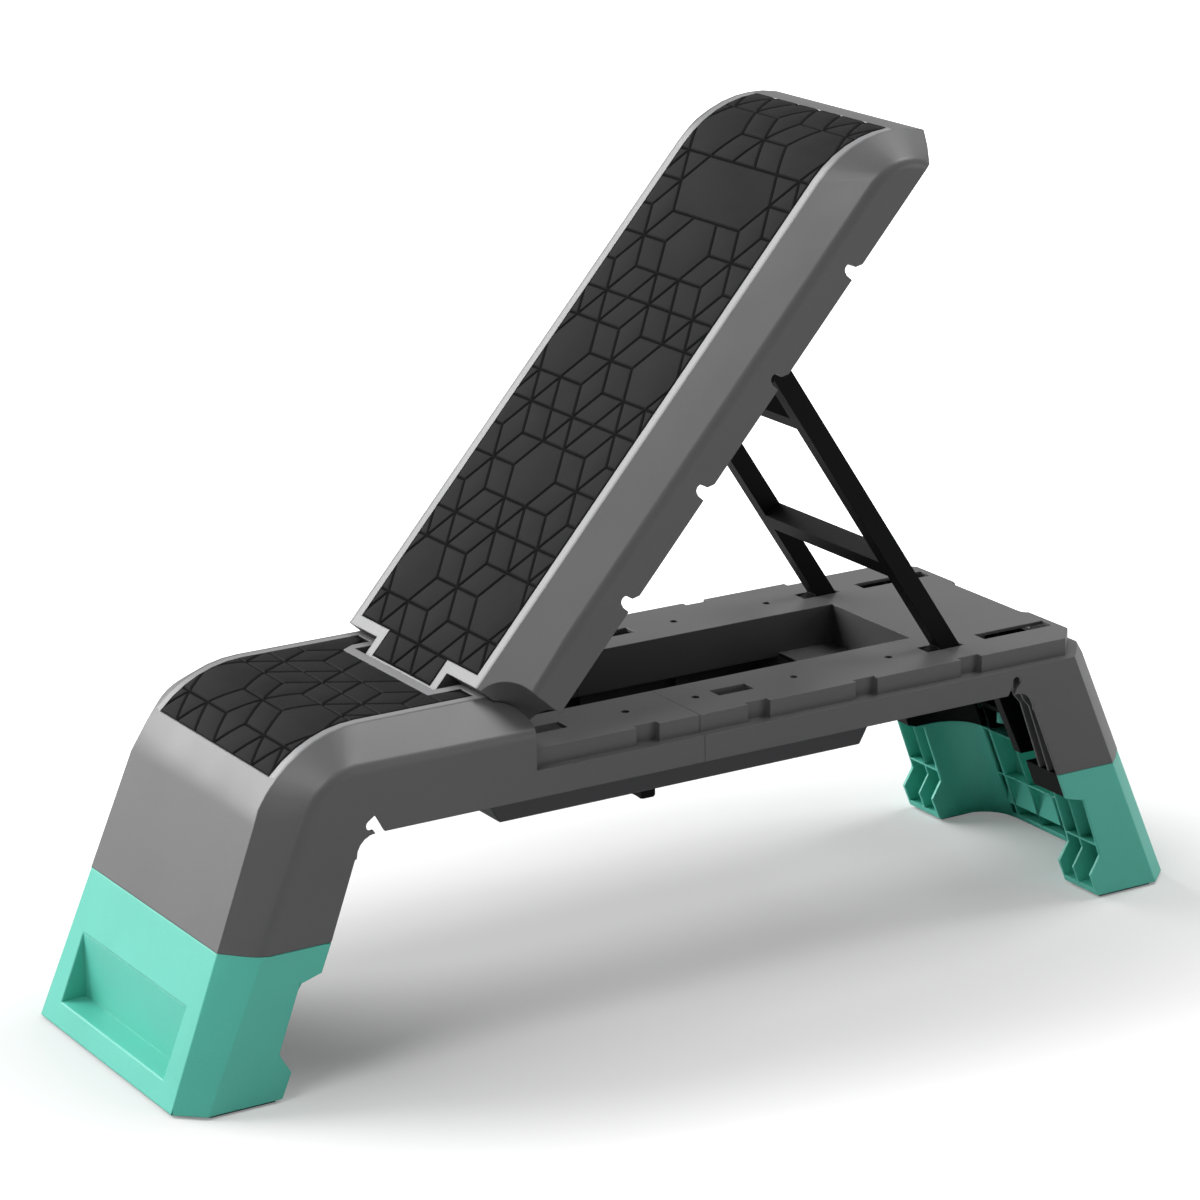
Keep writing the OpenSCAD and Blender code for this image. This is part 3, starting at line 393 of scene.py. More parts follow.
@dataclass
class Palette:
    """All finishes of the step, built once."""

    # Polypropylene, spark-eroded mould: mid grey, satin, so bends catch a soft sheen
    grey: Finish = MouldedPlastic("polypropylene_grey_moulded", "#5a5a5b", 0.38, specular=0.45)
    # The same plastic on the rim beside each mat: smoother, and paler by a painted highlight
    rim: Finish = RimPaintedHighlight(
        "polypropylene_grey_polished_rim", "#848485", 0.34, specular=0.3, grain_depth_mm=0.008
    )
    # Polypropylene coloured through: a mint green, satin
    green: Finish = MouldedPlastic("polypropylene_mint_moulded", "#5ac1ae", 0.40, specular=0.35)
    # Glass-filled nylon: near black, slightly silky, with a coarser grain
    black: Finish = MouldedPlastic(
        "nylon_black_glass_filled", "#0b0b0c", 0.48, specular=0.08, grain_depth_mm=0.03
    )
    # ABS in a fine matt texture: dark grey
    dark: Finish = MouldedPlastic("abs_dark_grey_matt", "#4a4a4c", 0.55, specular=0.2)
    # Natural rubber mix, moulded: charcoal, dull, with a fine pebble
    tile: Finish = MouldedRubber("rubber_charcoal_moulded", "#232324", 0.70, specular=0.06)
    # The same rubber in the grooves between the tiles and on the mat's edge and underside, darker: painted
    # shade
    groove: Finish = MouldedRubber("rubber_charcoal_groove", "#111112", 0.9, specular=0.04)
    # Soft rubber of the foot pads: black and dull
    pad: Finish = MouldedRubber("rubber_black_pad", "#161617", 0.85, specular=0.2)
    # Zinc-plated drawn steel: bright, a little cloudy
    steel: Finish = PlatedSteel("steel_zinc_plated", "#b9bcc0", 0.34, metallic=1.0)
    # Steel screws coloured nearly black, as painted shade of the holes that they sit in, with a soft shine
    screw: Finish = PlatedSteel("steel_black_oxide", "#1b1b1c", 0.45, metallic=1.0)
    made: dict = field(default_factory=dict)

    def get(self, name: str) -> bpy.types.Material:
        """Material of a finish, made when it is first asked for.

        Args:
            name: the field's name.

        Returns:
            The material.
        """
        if name not in self.made:
            self.made[name] = getattr(self, name).build()
        return self.made[name]


# Pieces


def link(name: str, mesh: bpy.types.Mesh) -> bpy.types.Object:
    """Put a mesh into the scene, with its object at the origin.

    Args:
        name: the object's name.
        mesh: its mesh.

    Returns:
        The new object.
    """
    piece = bpy.data.objects.new(name, mesh)
    bpy.context.scene.collection.objects.link(piece)
    return piece


def settle(piece: bpy.types.Object, body: Body, node: str) -> bpy.types.Object:
    """Attach a finished piece to the body that it rides on, and hide the CAD node that it stands for.

    Args:
        piece: the finished piece.
        body: the body that it moves with.
        node: the CAD node that it stands for.

    Returns:
        The same piece.
    """
    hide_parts(node)
    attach(piece, body.value)
    LOG.info("%s: %d faces on %s", piece.name, len(piece.data.polygons), body.value)
    return piece


def plain(piece: bpy.types.Object) -> bpy.types.Object:
    """Turn a piece with modifiers into one with a plain mesh.

    Args:
        piece: an object with modifiers.

    Returns:
        A new object of the same name; the old one is gone.
    """
    graph = bpy.context.evaluated_depsgraph_get()
    mesh = bpy.data.meshes.new_from_object(piece.evaluated_get(graph), depsgraph=graph)
    name = piece.name
    old = piece.data
    bpy.data.objects.remove(piece)
    bpy.data.meshes.remove(old)
    mesh.name = name
    return link(name, mesh)


def shade_by_angle(mesh: bpy.types.Mesh, degrees: float) -> None:
    """Smooth all faces but keep every edge sharper than an angle.

    Args:
        mesh: a mesh, whose imported normals are dropped.
        degrees: the angle.
    """
    for name in ("custom_normal", "sharp_face"):
        if name in mesh.attributes:
            mesh.attributes.remove(mesh.attributes[name])
    mesh.shade_smooth()
    mesh.set_sharp_from_angle(angle=math.radians(degrees))


def mesh_of(form: Form, name: str) -> bpy.types.Mesh:
    """Turn a form into a mesh and free the form.

    Args:
        form: the form.
        name: the mesh's name.

    Returns:
        The new mesh.
    """
    mesh = bpy.data.meshes.new(name)
    form.to_mesh(mesh)
    form.free()
    return mesh


def cut_faces(form: Form, faces: Iterable, point: Triple, normal: Triple, clear: bool = False) -> list:
    """Cut faces along a plane.

    Args:
        form: the form that they belong to.
        faces: the faces to be cut.
        point: a point of the plane.
        normal: the plane's normal.
        clear: whether what lies beyond the plane is deleted.

    Returns:
        The edges that lie in the plane.
    """
    faces = list(faces)
    corners = list(dict.fromkeys(v for f in faces for v in f.verts))
    sides = list(dict.fromkeys(e for f in faces for e in f.edges))
    done = bmesh.ops.bisect_plane(
        form, geom=corners + sides + faces, dist=MERGE, plane_co=point, plane_no=normal, clear_outer=clear
    )
    return [g for g in done["geom_cut"] if isinstance(g, Edge)]


def round_edges(form: Form, edges: list, radius: float, segments: int) -> None:
    """Round some edges of a form.

    Args:
        form: the form.
        edges: its edges to be rounded.
        radius: how far from the edge the rounding starts, in metres.
        segments: how many faces make up the rounding.
    """
    bmesh.ops.bevel(
        form, geom=edges, offset=radius, segments=segments, profile=0.5, affect="EDGES", clamp_overlap=False
    )


@dataclass
class RoundedShell:
    """A moulded shell: the CAD's form with the soft edges of a mould.

    Sizes are in metres and angles in degrees. The long shoulder edges get a wide
    radius, all other long edges a small one or none.
    """

    node: str
    body: Body
    slot: Slot
    finish: str
    shoulder_r: float = 0.0
    edge_r: float = 0.0
    shortest: float = 0.04
    sharpest_left: float = 28.0
    crease: float = 16.0
    flat: float = 0.6
    level: float = 0.573
    half_width: float = 0.1727
    wall_slack: float = 0.0002
    rim_half: float = 0.1295
    rim_slack: float = 0.0015
    # How far across the step the normal of a shoulder, a wall and the rim point
    lean: Span = (0.3, 0.9)
    upright: float = 0.99
    rim_lean: float = 0.05
    clearance: float = 0.0002
    turned: Optional[Matrix] = None
    rim: Optional[str] = None
    rim_span: Triple = (0.0, 0.0, 0.0)

    def build(self, palette: Palette, nodes: dict) -> bpy.types.Object:
        """Round the edges of a merged copy and dress it.

        Args:
            palette: the finishes.
            nodes: the frame's node objects.

        Returns:
            The finished piece.
        """
        form = bmesh.new()
        form.from_mesh(nodes[self.node].data)
        bmesh.ops.remove_doubles(form, verts=form.verts, dist=MERGE)
        if self.turned:
            form.transform(self.turned.inverted())
        if self.shoulder_r:
            flanks = [e for e in form.edges if self.on_flank(e)]
            bmesh.ops.dissolve_limit(form, angle_limit=math.radians(self.flat), verts=[], edges=flanks)
            round_edges(form, [e for e in form.edges if self.is_shoulder(e)], self.shoulder_r, 5)
        if self.edge_r:
            skin = BVHTree.FromBMesh(form)
            edges = [e for e in form.edges if self.is_long(e) and self.is_outside(e, skin)]
            round_edges(form, edges, self.edge_r, 2)
        if self.rim:
            self.mark_rim(form)
        if self.turned:
            form.transform(self.turned)
        mesh = mesh_of(form, self.node + "_moulded")
        for finish in filter(None, (self.finish, self.rim)):
            mesh.materials.append(palette.get(finish))
        shade_by_angle(mesh, self.crease)
        piece = link(self.node + "_moulded", mesh)
        piece.modifiers.new("flats", "WEIGHTED_NORMAL").keep_sharp = True
        return settle(piece, self.body, self.node)

    def on_flank(self, edge: Edge) -> bool:
        """Whether an edge lies inside a plain side wall or a sloping shoulder.

        Args:
            edge: any edge.

        Returns:
            True if both its faces belong to one and the same flank.
        """
        if len(edge.link_faces) != 2 or any(abs(v.co.y) < self.rim_half for v in edge.verts):
            return False
        leans = all(abs(f.normal.y) > self.lean[0] for f in edge.link_faces)
        return leans and edge.calc_face_angle(0.0) < math.radians(self.level)

    def is_shoulder(self, edge: Edge) -> bool:
        """Whether a side wall meets the sloping shoulder at an edge.

        Args:
            edge: any edge.

        Returns:
            True if one face is a side wall and the other leans inwards.
        """
        if len(edge.link_faces) != 2 or not edge.is_convex:
            return False
        if any(abs(abs(v.co.y) - self.half_width) > self.wall_slack for v in edge.verts):
            return False
        shoulder, wall = sorted(abs(f.normal.y) for f in edge.link_faces)
        return wall > self.upright and self.lean[0] < shoulder < self.lean[1]

    def is_long(self, edge: Edge) -> bool:
        """Whether an edge is long and sharp enough to be rounded.

        Args:
            edge: any edge.

        Returns:
            True for such a convex edge.
        """
        if len(edge.link_faces) != 2 or not edge.is_convex or edge.calc_length() < self.shortest:
            return False
        return edge.calc_face_angle(0.0) > math.radians(self.sharpest_left)

    def is_outside(self, edge: Edge, skin: BVHTree) -> bool:
        """Whether an edge is free to be touched from outside.

        Args:
            edge: a convex edge.
            skin: the shell's faces.

        Returns:
            True if no wall lies in front of the edge.
        """
        middle = (edge.verts[0].co + edge.verts[1].co) / 2
        out = (edge.link_faces[0].normal + edge.link_faces[1].normal).normalized()
        return skin.ray_cast(middle + out * self.clearance, out)[0] is None

    def mark_rim(self, form: Form) -> None:
        """Give the flat rim beside the mat its own finish, which is paler by a painted highlight.

        Args:
            form: the shell, in the flat position.
        """
        low_x, high_x, low_z = self.rim_span
        for face in form.faces:
            middle = face.calc_center_median()
            beside = max(abs(v.co.y) for v in face.verts) < self.rim_half + self.rim_slack
            faces_up = abs(face.normal.y) < self.rim_lean and face.normal.z > self.lean[0]
            if beside and faces_up and middle.z > low_z and low_x < middle.x < high_x:
                # These faces take the second finish: the rim's painted highlight
                face.material_index = 1


def seam_rule(column: int, half_row: int, step: int) -> bool:
    """Whether a seam runs from a lattice point to a neighbour.

    The pattern repeats every eight columns and four rows, and again shifted by
    half of both. Hexagons stand on every second column group, with upright and
    lying lozenges between them and triangles round the stars.

    Args:
        column: number of the point's column.
        half_row: height of the point in half rows, even in even columns.
        step: 2 for the next point in the column, 1 or -1 for the next column.

    Returns:
        True if the seam is there.
    """
    m = column % 8
    if m >= 4:
        m, half_row = m - 4, half_row - 4
    if step == 2:
        centre = (half_row + 5) % 8 - 4
        return (True, centre != 0, abs(centre) == 1, centre != 0)[m]
    if step == -1:
        half_row = -half_row
    r = (half_row + 4) % 8 - 4
    return r in ((-4, 0, 2), (-3, -1), (0, 2), (-3, -1, 3))[m]


@dataclass
class TiledMat:
    """Rubber mat of raised tiles, laid out flat and then bent over the step's end.

    Sizes are in metres; the mat is laid out along x with y across, and z is
    the height over the rim. The tongue is the mat's narrower stretch at the
    hinge, or the stretch where it is split to leave room for one.
    """

    node: str
    body: Body
    origin: float
    column: float
    row: float
    low: float
    high: float
    half: float
    tongue_half: float
    tongue_edge: float
    tongue_inside: bool
    panel: Optional[tuple[int, int]] = None
    turned: Optional[Matrix] = None
    groove: float = 0.0009
    slope: float = 0.0012
    soft: float = 0.0010
    proud: float = 0.0007
    depth: float = 0.0016
    thick: float = 0.0040
    crown: float = 0.0003
    snap: float = 0.0015
    smallest_tile: float = 90e-6
    bend_start: float = 0.37579
    bend_step: float = 0.011
    bend_r: float = 0.129
    top: float = 0.350
    crease: float = 24.0

    def build(self, palette: Palette) -> bpy.types.Object:
        """Lay out, bend and place the mat.

        Args:
            palette: the finishes.

        Returns:
            The finished mat.
        """
        piece = link(self.node + "_tiled", mesh_of(self.sheet(), self.node + "_tiles"))
        bend = piece.modifiers.new("bend", "NODES")
        bend.node_group = bend_tree()
        values = {
            "Bend start": self.bend_start,
            "Bend radius": self.bend_r,
            "Rim height": self.top,
            "Tile rubber": palette.get("tile"),
            "Groove rubber": palette.get("groove"),
        }
        set_inputs(bend, values)
        piece = plain(piece)
        if self.turned:
            piece.data.transform(self.turned)
        shade_by_angle(piece.data, self.crease)
        return settle(piece, self.body, self.node)

    def point(self, column: int, half_row: int) -> Vector:
        """Place of a lattice point on the flat mat."""
        return Vector((self.origin + column * self.column, half_row * self.row / 2, 0.0))

    def in_panel(self, a: tuple[int, int], b: tuple[int, int]) -> Optional[bool]:
        """Whether a seam lies in the bare panel.

        Args:
            a: one end's column and half row.
            b: the other end's.

        Returns:
            None away from the panel, True on its outline and False inside it.
        """
        if not self.panel:
            return None
        first, tall = self.panel
        ends = []
        for c, r in (a, b):
            reach = tall + 1 if c == first + 1 else tall
            if not (first <= c <= first + 2 and abs(r) <= reach):
                return None
            ends.append(c in (first, first + 2) or abs(r) == reach)
        if not all(ends):
            return False
        return a[0] == b[0] or abs(a[1]) == tall + 1 or abs(b[1]) == tall + 1

    def sheet(self) -> Form:
        """Lay the tiles out flat.

        Returns:
            A closed sheet whose faces carry in "groove" whether they lie low.
        """
        form = bmesh.new()
        first = math.floor((self.low - self.origin) / self.column) - 1
        last = math.ceil((self.high - self.origin) / self.column) + 1
        reach = 2 * math.ceil(self.half / self.row) + 2
        points = {
            (c, r): form.verts.new(self.point(c, r))
            for c in range(first, last + 1)
            for r in range(-reach, reach + 1)
            if (c + r) % 2 == 0
        }
        for (c, r), v in points.items():
            up, right, down = points.get((c, r + 2)), points.get((c + 1, r + 1)), points.get((c + 1, r - 1))
            if up and right:
                form.faces.new((v, right, up))
            if down and right:
                form.faces.new((v, down, right))
        place = {v: k for k, v in points.items()}
        plain_edges = [e for e in form.edges if not self.has_seam(place[e.verts[0]], place[e.verts[1]])]
        loose = [v for v in form.verts if not v.link_faces]
        bmesh.ops.delete(form, geom=loose, context="VERTS")
        bmesh.ops.dissolve_edges(form, edges=plain_edges, use_verts=True)
        self.trim(form)
        self.raise_tiles(form)
        self.close(form)
        return form

    def has_seam(self, a: tuple[int, int], b: tuple[int, int]) -> bool:
        """Whether the lattice edge between two points is a seam.

        Args:
            a: one end's column and half row.
            b: the other end's.

        Returns:
            True if the tiles on its two sides are separate.
        """
        panel = self.in_panel(a, b)
        if panel is not None:
            return panel
        (c0, r0), (c1, r1) = sorted((a, b))
        return seam_rule(c0, r0, r1 - r0)

    def trim(self, form: Form) -> None:
        """Cut the lattice to the mat's outline.

        Args:
            form: the flat tiles.
        """
        for v in form.verts:
            for line in (self.low, self.tongue_edge, self.high):
                if abs(v.co.x - line) < self.snap:
                    v.co.x = line
        for edge, outwards in ((self.low, -1.0), (self.high, 1.0)):
            cut_faces(form, form.faces, (edge, 0.0, 0.0), (outwards, 0.0, 0.0), clear=True)
        for outwards in (1.0, -1.0):
            cut_faces(form, form.faces, (0.0, outwards * self.half, 0.0), (0.0, outwards, 0.0), clear=True)
        side = 1.0 if self.tongue_inside else -1.0
        marks = cut_faces(form, form.faces, (self.tongue_edge, 0.0, 0.0), (1.0, 0.0, 0.0))

        def beyond(face: Face) -> bool:
            """True beyond the edge from which the mat is narrower or split."""
            return (face.calc_center_median().x - self.tongue_edge) * -side > 0

        for y in (self.tongue_half, -self.tongue_half):
            marks += cut_faces(form, [f for f in form.faces if beyond(f)], (0.0, y, 0.0), (0.0, 1.0, 0.0))
        drop = [
            f
            for f in form.faces
            if beyond(f) and (abs(f.calc_center_median().y) > self.tongue_half) == self.tongue_inside
        ]
        bmesh.ops.delete(form, geom=drop, context="FACES")
        if not self.tongue_inside:
            rest = [e for e in marks if e.is_valid and len(e.link_faces) == 2]
            bmesh.ops.dissolve_edges(form, edges=rest, use_verts=True)

    def raise_tiles(self, form: Form) -> None:
        """Raise each tile from the grooves round it.

        Args:
            form: the trimmed flat tiles.
        """
        low = form.faces.layers.int.new("groove")
        tiles = [f for f in form.faces if f.calc_area() > self.smallest_tile]
        for f in form.faces:
            f[low] = 1
        for v in form.verts:
            v.co.z = self.proud - self.depth
        bmesh.ops.inset_individual(form, faces=tiles, thickness=self.groove, use_even_offset=True)
        raised = list(tiles)
        for width, height in ((self.slope, self.proud - self.crown), (self.soft, self.proud)):
            ring = bmesh.ops.inset_individual(form, faces=tiles, thickness=width, use_even_offset=True)
            raised += ring["faces"]
            for v in {v for f in tiles for v in f.verts}:
                v.co.z = height
        for f in raised:
            f[low] = 0

    def close(self, form: Form) -> None:
        """Give the sheet its edge and underside, and cut it where it bends.

        Args:
            form: the raised flat tiles.
        """
        rim = [e for e in form.edges if len(e.link_faces) == 1]
        made = bmesh.ops.extrude_edge_only(form, edges=rim)["geom"]
        for g in made:
            if isinstance(g, bmesh.types.BMVert):
                g.co.z = -self.thick
        loop = [g for g in made if isinstance(g, Edge) and len(g.link_faces) == 1]
        under = bmesh.ops.edgeloop_fill(form, edges=loop)["faces"]
        low = form.faces.layers.int["groove"]
        for f in under + [g for g in made if isinstance(g, Face)]:
            f[low] = 1
        side = math.copysign(1.0, self.low + self.high)
        x = self.bend_start
        while x < max(abs(self.low), abs(self.high)):
            cut_faces(form, form.faces, (side * x, 0.0, 0.0), (1.0, 0.0, 0.0))
            x += self.bend_step
        bmesh.ops.recalc_face_normals(form, faces=form.faces)


def new_tree(name: str, inputs: tuple[tuple[str, str], ...]) -> Tree:
    """Make an empty geometry tree that takes and gives geometry.

    Args:
        name: the tree's name.
        inputs: the name and kind of each further input.

    Returns:
        The new tree.
    """
    tree = bpy.data.node_groups.new(name, "GeometryNodeTree")
    for label, kind in (("Geometry", "Geometry"), *inputs):
        tree.interface.new_socket(label, in_out="INPUT", socket_type="NodeSocket" + kind)
    tree.interface.new_socket("Geometry", in_out="OUTPUT", socket_type="NodeSocketGeometry")
    return tree


def bend_tree() -> Tree:
    """Geometry tree that bends a flat mat over the step's end.

    Returns:
        A tree with the bend's sizes and the two finishes as its inputs.
    """
    if "mat_bend" in bpy.data.node_groups:
        return bpy.data.node_groups["mat_bend"]
    inputs = (
        ("Bend start", "Float"),
        ("Bend radius", "Float"),
        ("Rim height", "Float"),
        ("Tile rubber", "Material"),
        ("Groove rubber", "Material"),
    )
    tree = new_tree("mat_bend", inputs)
    given = add_node(tree, "NodeGroupInput").outputs
    place = add_node(tree, "GeometryNodeInputPosition").outputs[0]
    flat = add_node(tree, "ShaderNodeSeparateXYZ", {0: place}).outputs
    known = {
        "x": flat["X"],
        "height": flat["Z"],
        "start": given["Bend start"],
        "radius": given["Bend radius"],
        "rim": given["Rim height"],
        "nothing": 0.0,
    }
    # In each row: the value that it gives, the operation and what goes in
    for name, operation, *operands in (
        ("along", "ABSOLUTE", "x"),
        ("side", "SIGN", "x"),
        ("straight", "MINIMUM", "along", "start"),
        ("past", "SUBTRACT", "along", "start"),
        ("run", "MAXIMUM", "past", "nothing"),
        ("turn", "DIVIDE", "run", "radius"),
        ("sine", "SINE", "turn"),
        ("cosine", "COSINE", "turn"),
        ("arm", "ADD", "radius", "height"),
        ("forward", "MULTIPLY", "arm", "sine"),
        ("upward", "MULTIPLY", "arm", "cosine"),
        ("reach", "ADD", "straight", "forward"),
        ("centre", "SUBTRACT", "rim", "radius"),
        ("bent x", "MULTIPLY", "reach", "side"),
        ("bent z", "ADD", "centre", "upward"),
    ):
        sockets = {i: known[operand] for i, operand in enumerate(operands)}
        known[name] = add_node(tree, "ShaderNodeMath", sockets, operation=operation).outputs[0]
    sockets = {0: known["bent x"], 1: flat["Y"], 2: known["bent z"]}
    bent = add_node(tree, "ShaderNodeCombineXYZ", sockets).outputs[0]
    moved = add_node(tree, "GeometryNodeSetPosition", {"Geometry": given["Geometry"], "Position": bent})
    real = add_node(tree, "GeometryNodeRealizeInstances", {0: moved.outputs[0]})
    low = add_node(tree, "GeometryNodeInputNamedAttribute", {"Name": "groove"}, data_type="INT")
    sockets = {0: low.outputs[0], 1: 0.5}
    is_low = add_node(tree, "ShaderNodeMath", sockets, operation="GREATER_THAN").outputs[0]
    sockets = {"Geometry": real.outputs[0], "Material": given["Tile rubber"]}
    tiles = add_node(tree, "GeometryNodeSetMaterial", sockets)
    # Faces that lie low take the darker groove rubber: painted shade in the grooves
    sockets = {"Geometry": tiles.outputs[0], "Selection": is_low, "Material": given["Groove rubber"]}
    both = add_node(tree, "GeometryNodeSetMaterial", sockets)
    add_node(tree, "NodeGroupOutput", {0: both.outputs[0]})
    return tree


# Camera, light and floor


@dataclass
class Studio:
    """Floor, lamps, world and camera of a plain studio."""

    # The camera: its place, the directions behind it and to its right, its lens in mm
    place: Triple = (-2.18164, -3.50826, 1.64666)
    back: Triple = (-0.50052, -0.81432, 0.29387)
    right: Triple = (0.85040, -0.52605, -0.00927)
    lens: float = 126.41
    ambient: float = 0.10
    mirrored: float = 0.5
    floor_half: float = 30.0
    lamp_distance: float = 4.0
    # Name, direction from the step, angle it fills as seen from there, strength
    softboxes: tuple[tuple[str, Triple, float, float], ...] = (
        ("softbox_behind_left", (-0.50, 0.70, 0.50), 50.0, 3.8),
        ("softbox_top", (0.46, 0.0, 0.89), 30.0, 1.4),
        ("softbox_left", (-0.50, -0.20, 0.84), 20.0, 0.75),
        ("softbox_front_right", (0.72, -0.66, 0.20), 30.0, 0.4),
    )

    def camera(self) -> None:
        """Stand the camera where the photograph was taken."""
        data = bpy.data.cameras.new("camera")
        data.lens = self.lens
        data.sensor_width = 36.0
        data.sensor_fit = "HORIZONTAL"
        data.clip_start, data.clip_end = 0.05, 200.0
        camera = bpy.data.objects.new("camera", data)
        bpy.context.scene.collection.objects.link(camera)
        back, right = Vector(self.back).normalized(), Vector(self.right).normalized()
        up = back.cross(right).normalized()
        turn = Matrix((back.cross(right).cross(back), up, back)).transposed()
        camera.matrix_world = Matrix.Translation(self.place) @ turn.to_4x4()
        bpy.context.scene.camera = camera

    def lamp(self, name: str, towards: Triple, spread: float, strength: float) -> None:
        """Hang one large softbox, far enough off to light the whole floor alike.

        Args:
            name: the lamp's name.
            towards: direction from the step to the lamp.
            spread: angle that the lamp fills as seen from the step, in degrees.
            strength: its strength, in watts per square metre.
        """
        data = bpy.data.lights.new(name, "SUN")
        data.angle = math.radians(spread)
        data.energy = strength
        lamp = bpy.data.objects.new(name, data)
        bpy.context.scene.collection.objects.link(lamp)
        lamp.location = Vector(towards) * self.lamp_distance
        lamp.rotation_mode = "QUATERNION"
        lamp.rotation_quaternion = (-Vector(towards)).to_track_quat("-Z", "Y")

    def world(self) -> None:
        """Light the scene evenly, show white behind it and a dimmer room in reflections."""
        world = bpy.data.worlds.new("studio")
        world.use_nodes = True
        tree = world.node_tree
        tree.nodes.clear()
        path = add_node(tree, "ShaderNodeLightPath").outputs
        sockets = {0: path["Is Glossy Ray"], 1: self.mirrored}
        mirrored = add_node(tree, "ShaderNodeMath", sockets, operation="MULTIPLY").outputs[0]
        sockets = {0: path["Is Camera Ray"], 1: mirrored}
        seen = add_node(tree, "ShaderNodeMath", sockets, operation="MAXIMUM").outputs[0]
        level = add_node(tree, "ShaderNodeMath", {0: seen, 1: self.ambient}, operation="MAXIMUM").outputs[0]
        sky = add_node(tree, "ShaderNodeBackground", {"Color": linear("#ffffff"), "Strength": level})
        add_node(tree, "ShaderNodeOutputWorld", {"Surface": sky.outputs[0]})
        bpy.context.scene.world = world

    def floor(self) -> None:
        """Lay the paper on the floor."""
        form = bmesh.new()
        bmesh.ops.create_grid(form, x_segments=4, y_segments=4, size=self.floor_half)
        mesh = mesh_of(form, "floor")
        mesh.materials.append(StudioPaper("paper_white_seamless", "#cacaca", 0.9, specular=0.0).build())
        floor = link("floor", mesh)

    def build(self) -> None:
        """Set up the whole studio."""
        bpy.context.scene.view_settings.view_transform = "Standard"
        self.camera()
        self.world()
        self.floor()
        for softbox in self.softboxes:
            self.lamp(*softbox)
        LOG.info("studio: floor, four softboxes and camera")


# The step


@dataclass
class Shells:
    """Deck halves, backrest and legs, with soft moulded edges."""

    shoulder_r: float = 0.0075
    leg_edge_r: float = 0.0014
    # Lowest and highest x, and lowest z, of the rim round each mat, which carries the painted highlight
    seat_rim: Triple = (-0.6, -0.2, 0.309)
    back_rim: Triple = (-0.3, 0.6, 0.309)

    def build(self, palette: Palette, nodes: dict) -> None:
        """Build every moulded shell.

        Args:
            palette: the finishes.
            nodes: the frame's node objects.
        """
        soft = {"shoulder_r": self.shoulder_r, "rim": "rim"}
        seat = {"rim_span": self.seat_rim, **soft}
        back = {"rim_span": self.back_rim, "turned": RAISED, **soft}
        leg = {"edge_r": self.leg_edge_r}
        rows = (
            ("front_deck", Body.DECK, Slot.GREY, "grey", seat),
            ("rear_deck", Body.DECK, Slot.GREY, "grey", {}),
            ("backrest_shell", Body.BACKREST, Slot.GREY, "grey", back),
            ("front_leg", Body.FRONT_SUPPORT, Slot.GREEN, "green", leg),
            ("rear_leg", Body.REAR_SUPPORT, Slot.GREEN, "green", leg),
        )
        for node, body, slot, finish, sizes in rows:
            RoundedShell(node, body, slot, finish, **sizes).build(palette, nodes)


@dataclass
class Frames:
    """Prop, brackets and leg frames; tray, block and pads with broken edges."""

    tray_edge_r: float = 0.0018
    block_edge_r: float = 0.0020
    pad_edge_r: float = 0.0011

    def build(self, palette: Palette, nodes: dict) -> None:
        """Build the plain moulded pieces.

        Args:
            palette: the finishes.
            nodes: the frame's node objects.
        """
        rows = (
            ("prop_frame", Body.PROP, Slot.BLACK, "black", 0.0),
            ("prop_bracket_near", Body.DECK, Slot.DARK, "dark", 0.0),
            ("prop_bracket_far", Body.DECK, Slot.DARK, "dark", 0.0),
            ("under_tray", Body.DECK, Slot.DARK, "dark", self.tray_edge_r),
            ("centre_block", Body.DECK, Slot.BLACK, "black", self.block_edge_r),
            ("front_leg_frame", Body.FRONT_SUPPORT, Slot.BLACK, "black", 0.0),
            ("rear_leg_frame", Body.REAR_SUPPORT, Slot.BLACK, "black", 0.0),
            ("front_foot_pads", Body.FRONT_SUPPORT, Slot.PAD, "pad", self.pad_edge_r),
            ("rear_foot_pads", Body.REAR_SUPPORT, Slot.PAD, "pad", self.pad_edge_r),
        )
        for node, body, slot, finish, radius in rows:
            RoundedShell(node, body, slot, finish, edge_r=radius).build(palette, nodes)


@dataclass
class Mats:
    """The seat's and the backrest's rubber mats."""

    half: float = 0.1172
    end: float = 0.4808

    def build(self, palette: Palette) -> None:
        """Lay both mats.

        Args:
            palette: the finishes.
        """
        seat = TiledMat(
            "seat_mat",
            Body.DECK,
            origin=-self.end,
            column=0.0334,
            row=0.0403,
            low=-self.end,
            high=-0.2433,
            half=self.half,
            tongue_half=0.0923,
            tongue_edge=-0.2798,
            tongue_inside=False,
        )
        back = TiledMat(
            "backrest_mat",
            Body.BACKREST,
            origin=-0.2167,
            column=0.0346,
            row=0.0403,
            low=-0.2477,
            high=self.end,
            half=self.half,
            tongue_half=0.0587,
            tongue_edge=-0.2167,
            tongue_inside=True,
            panel=(15, 3),
            turned=RAISED,
        )
        seat.build(palette)
        back.build(palette)


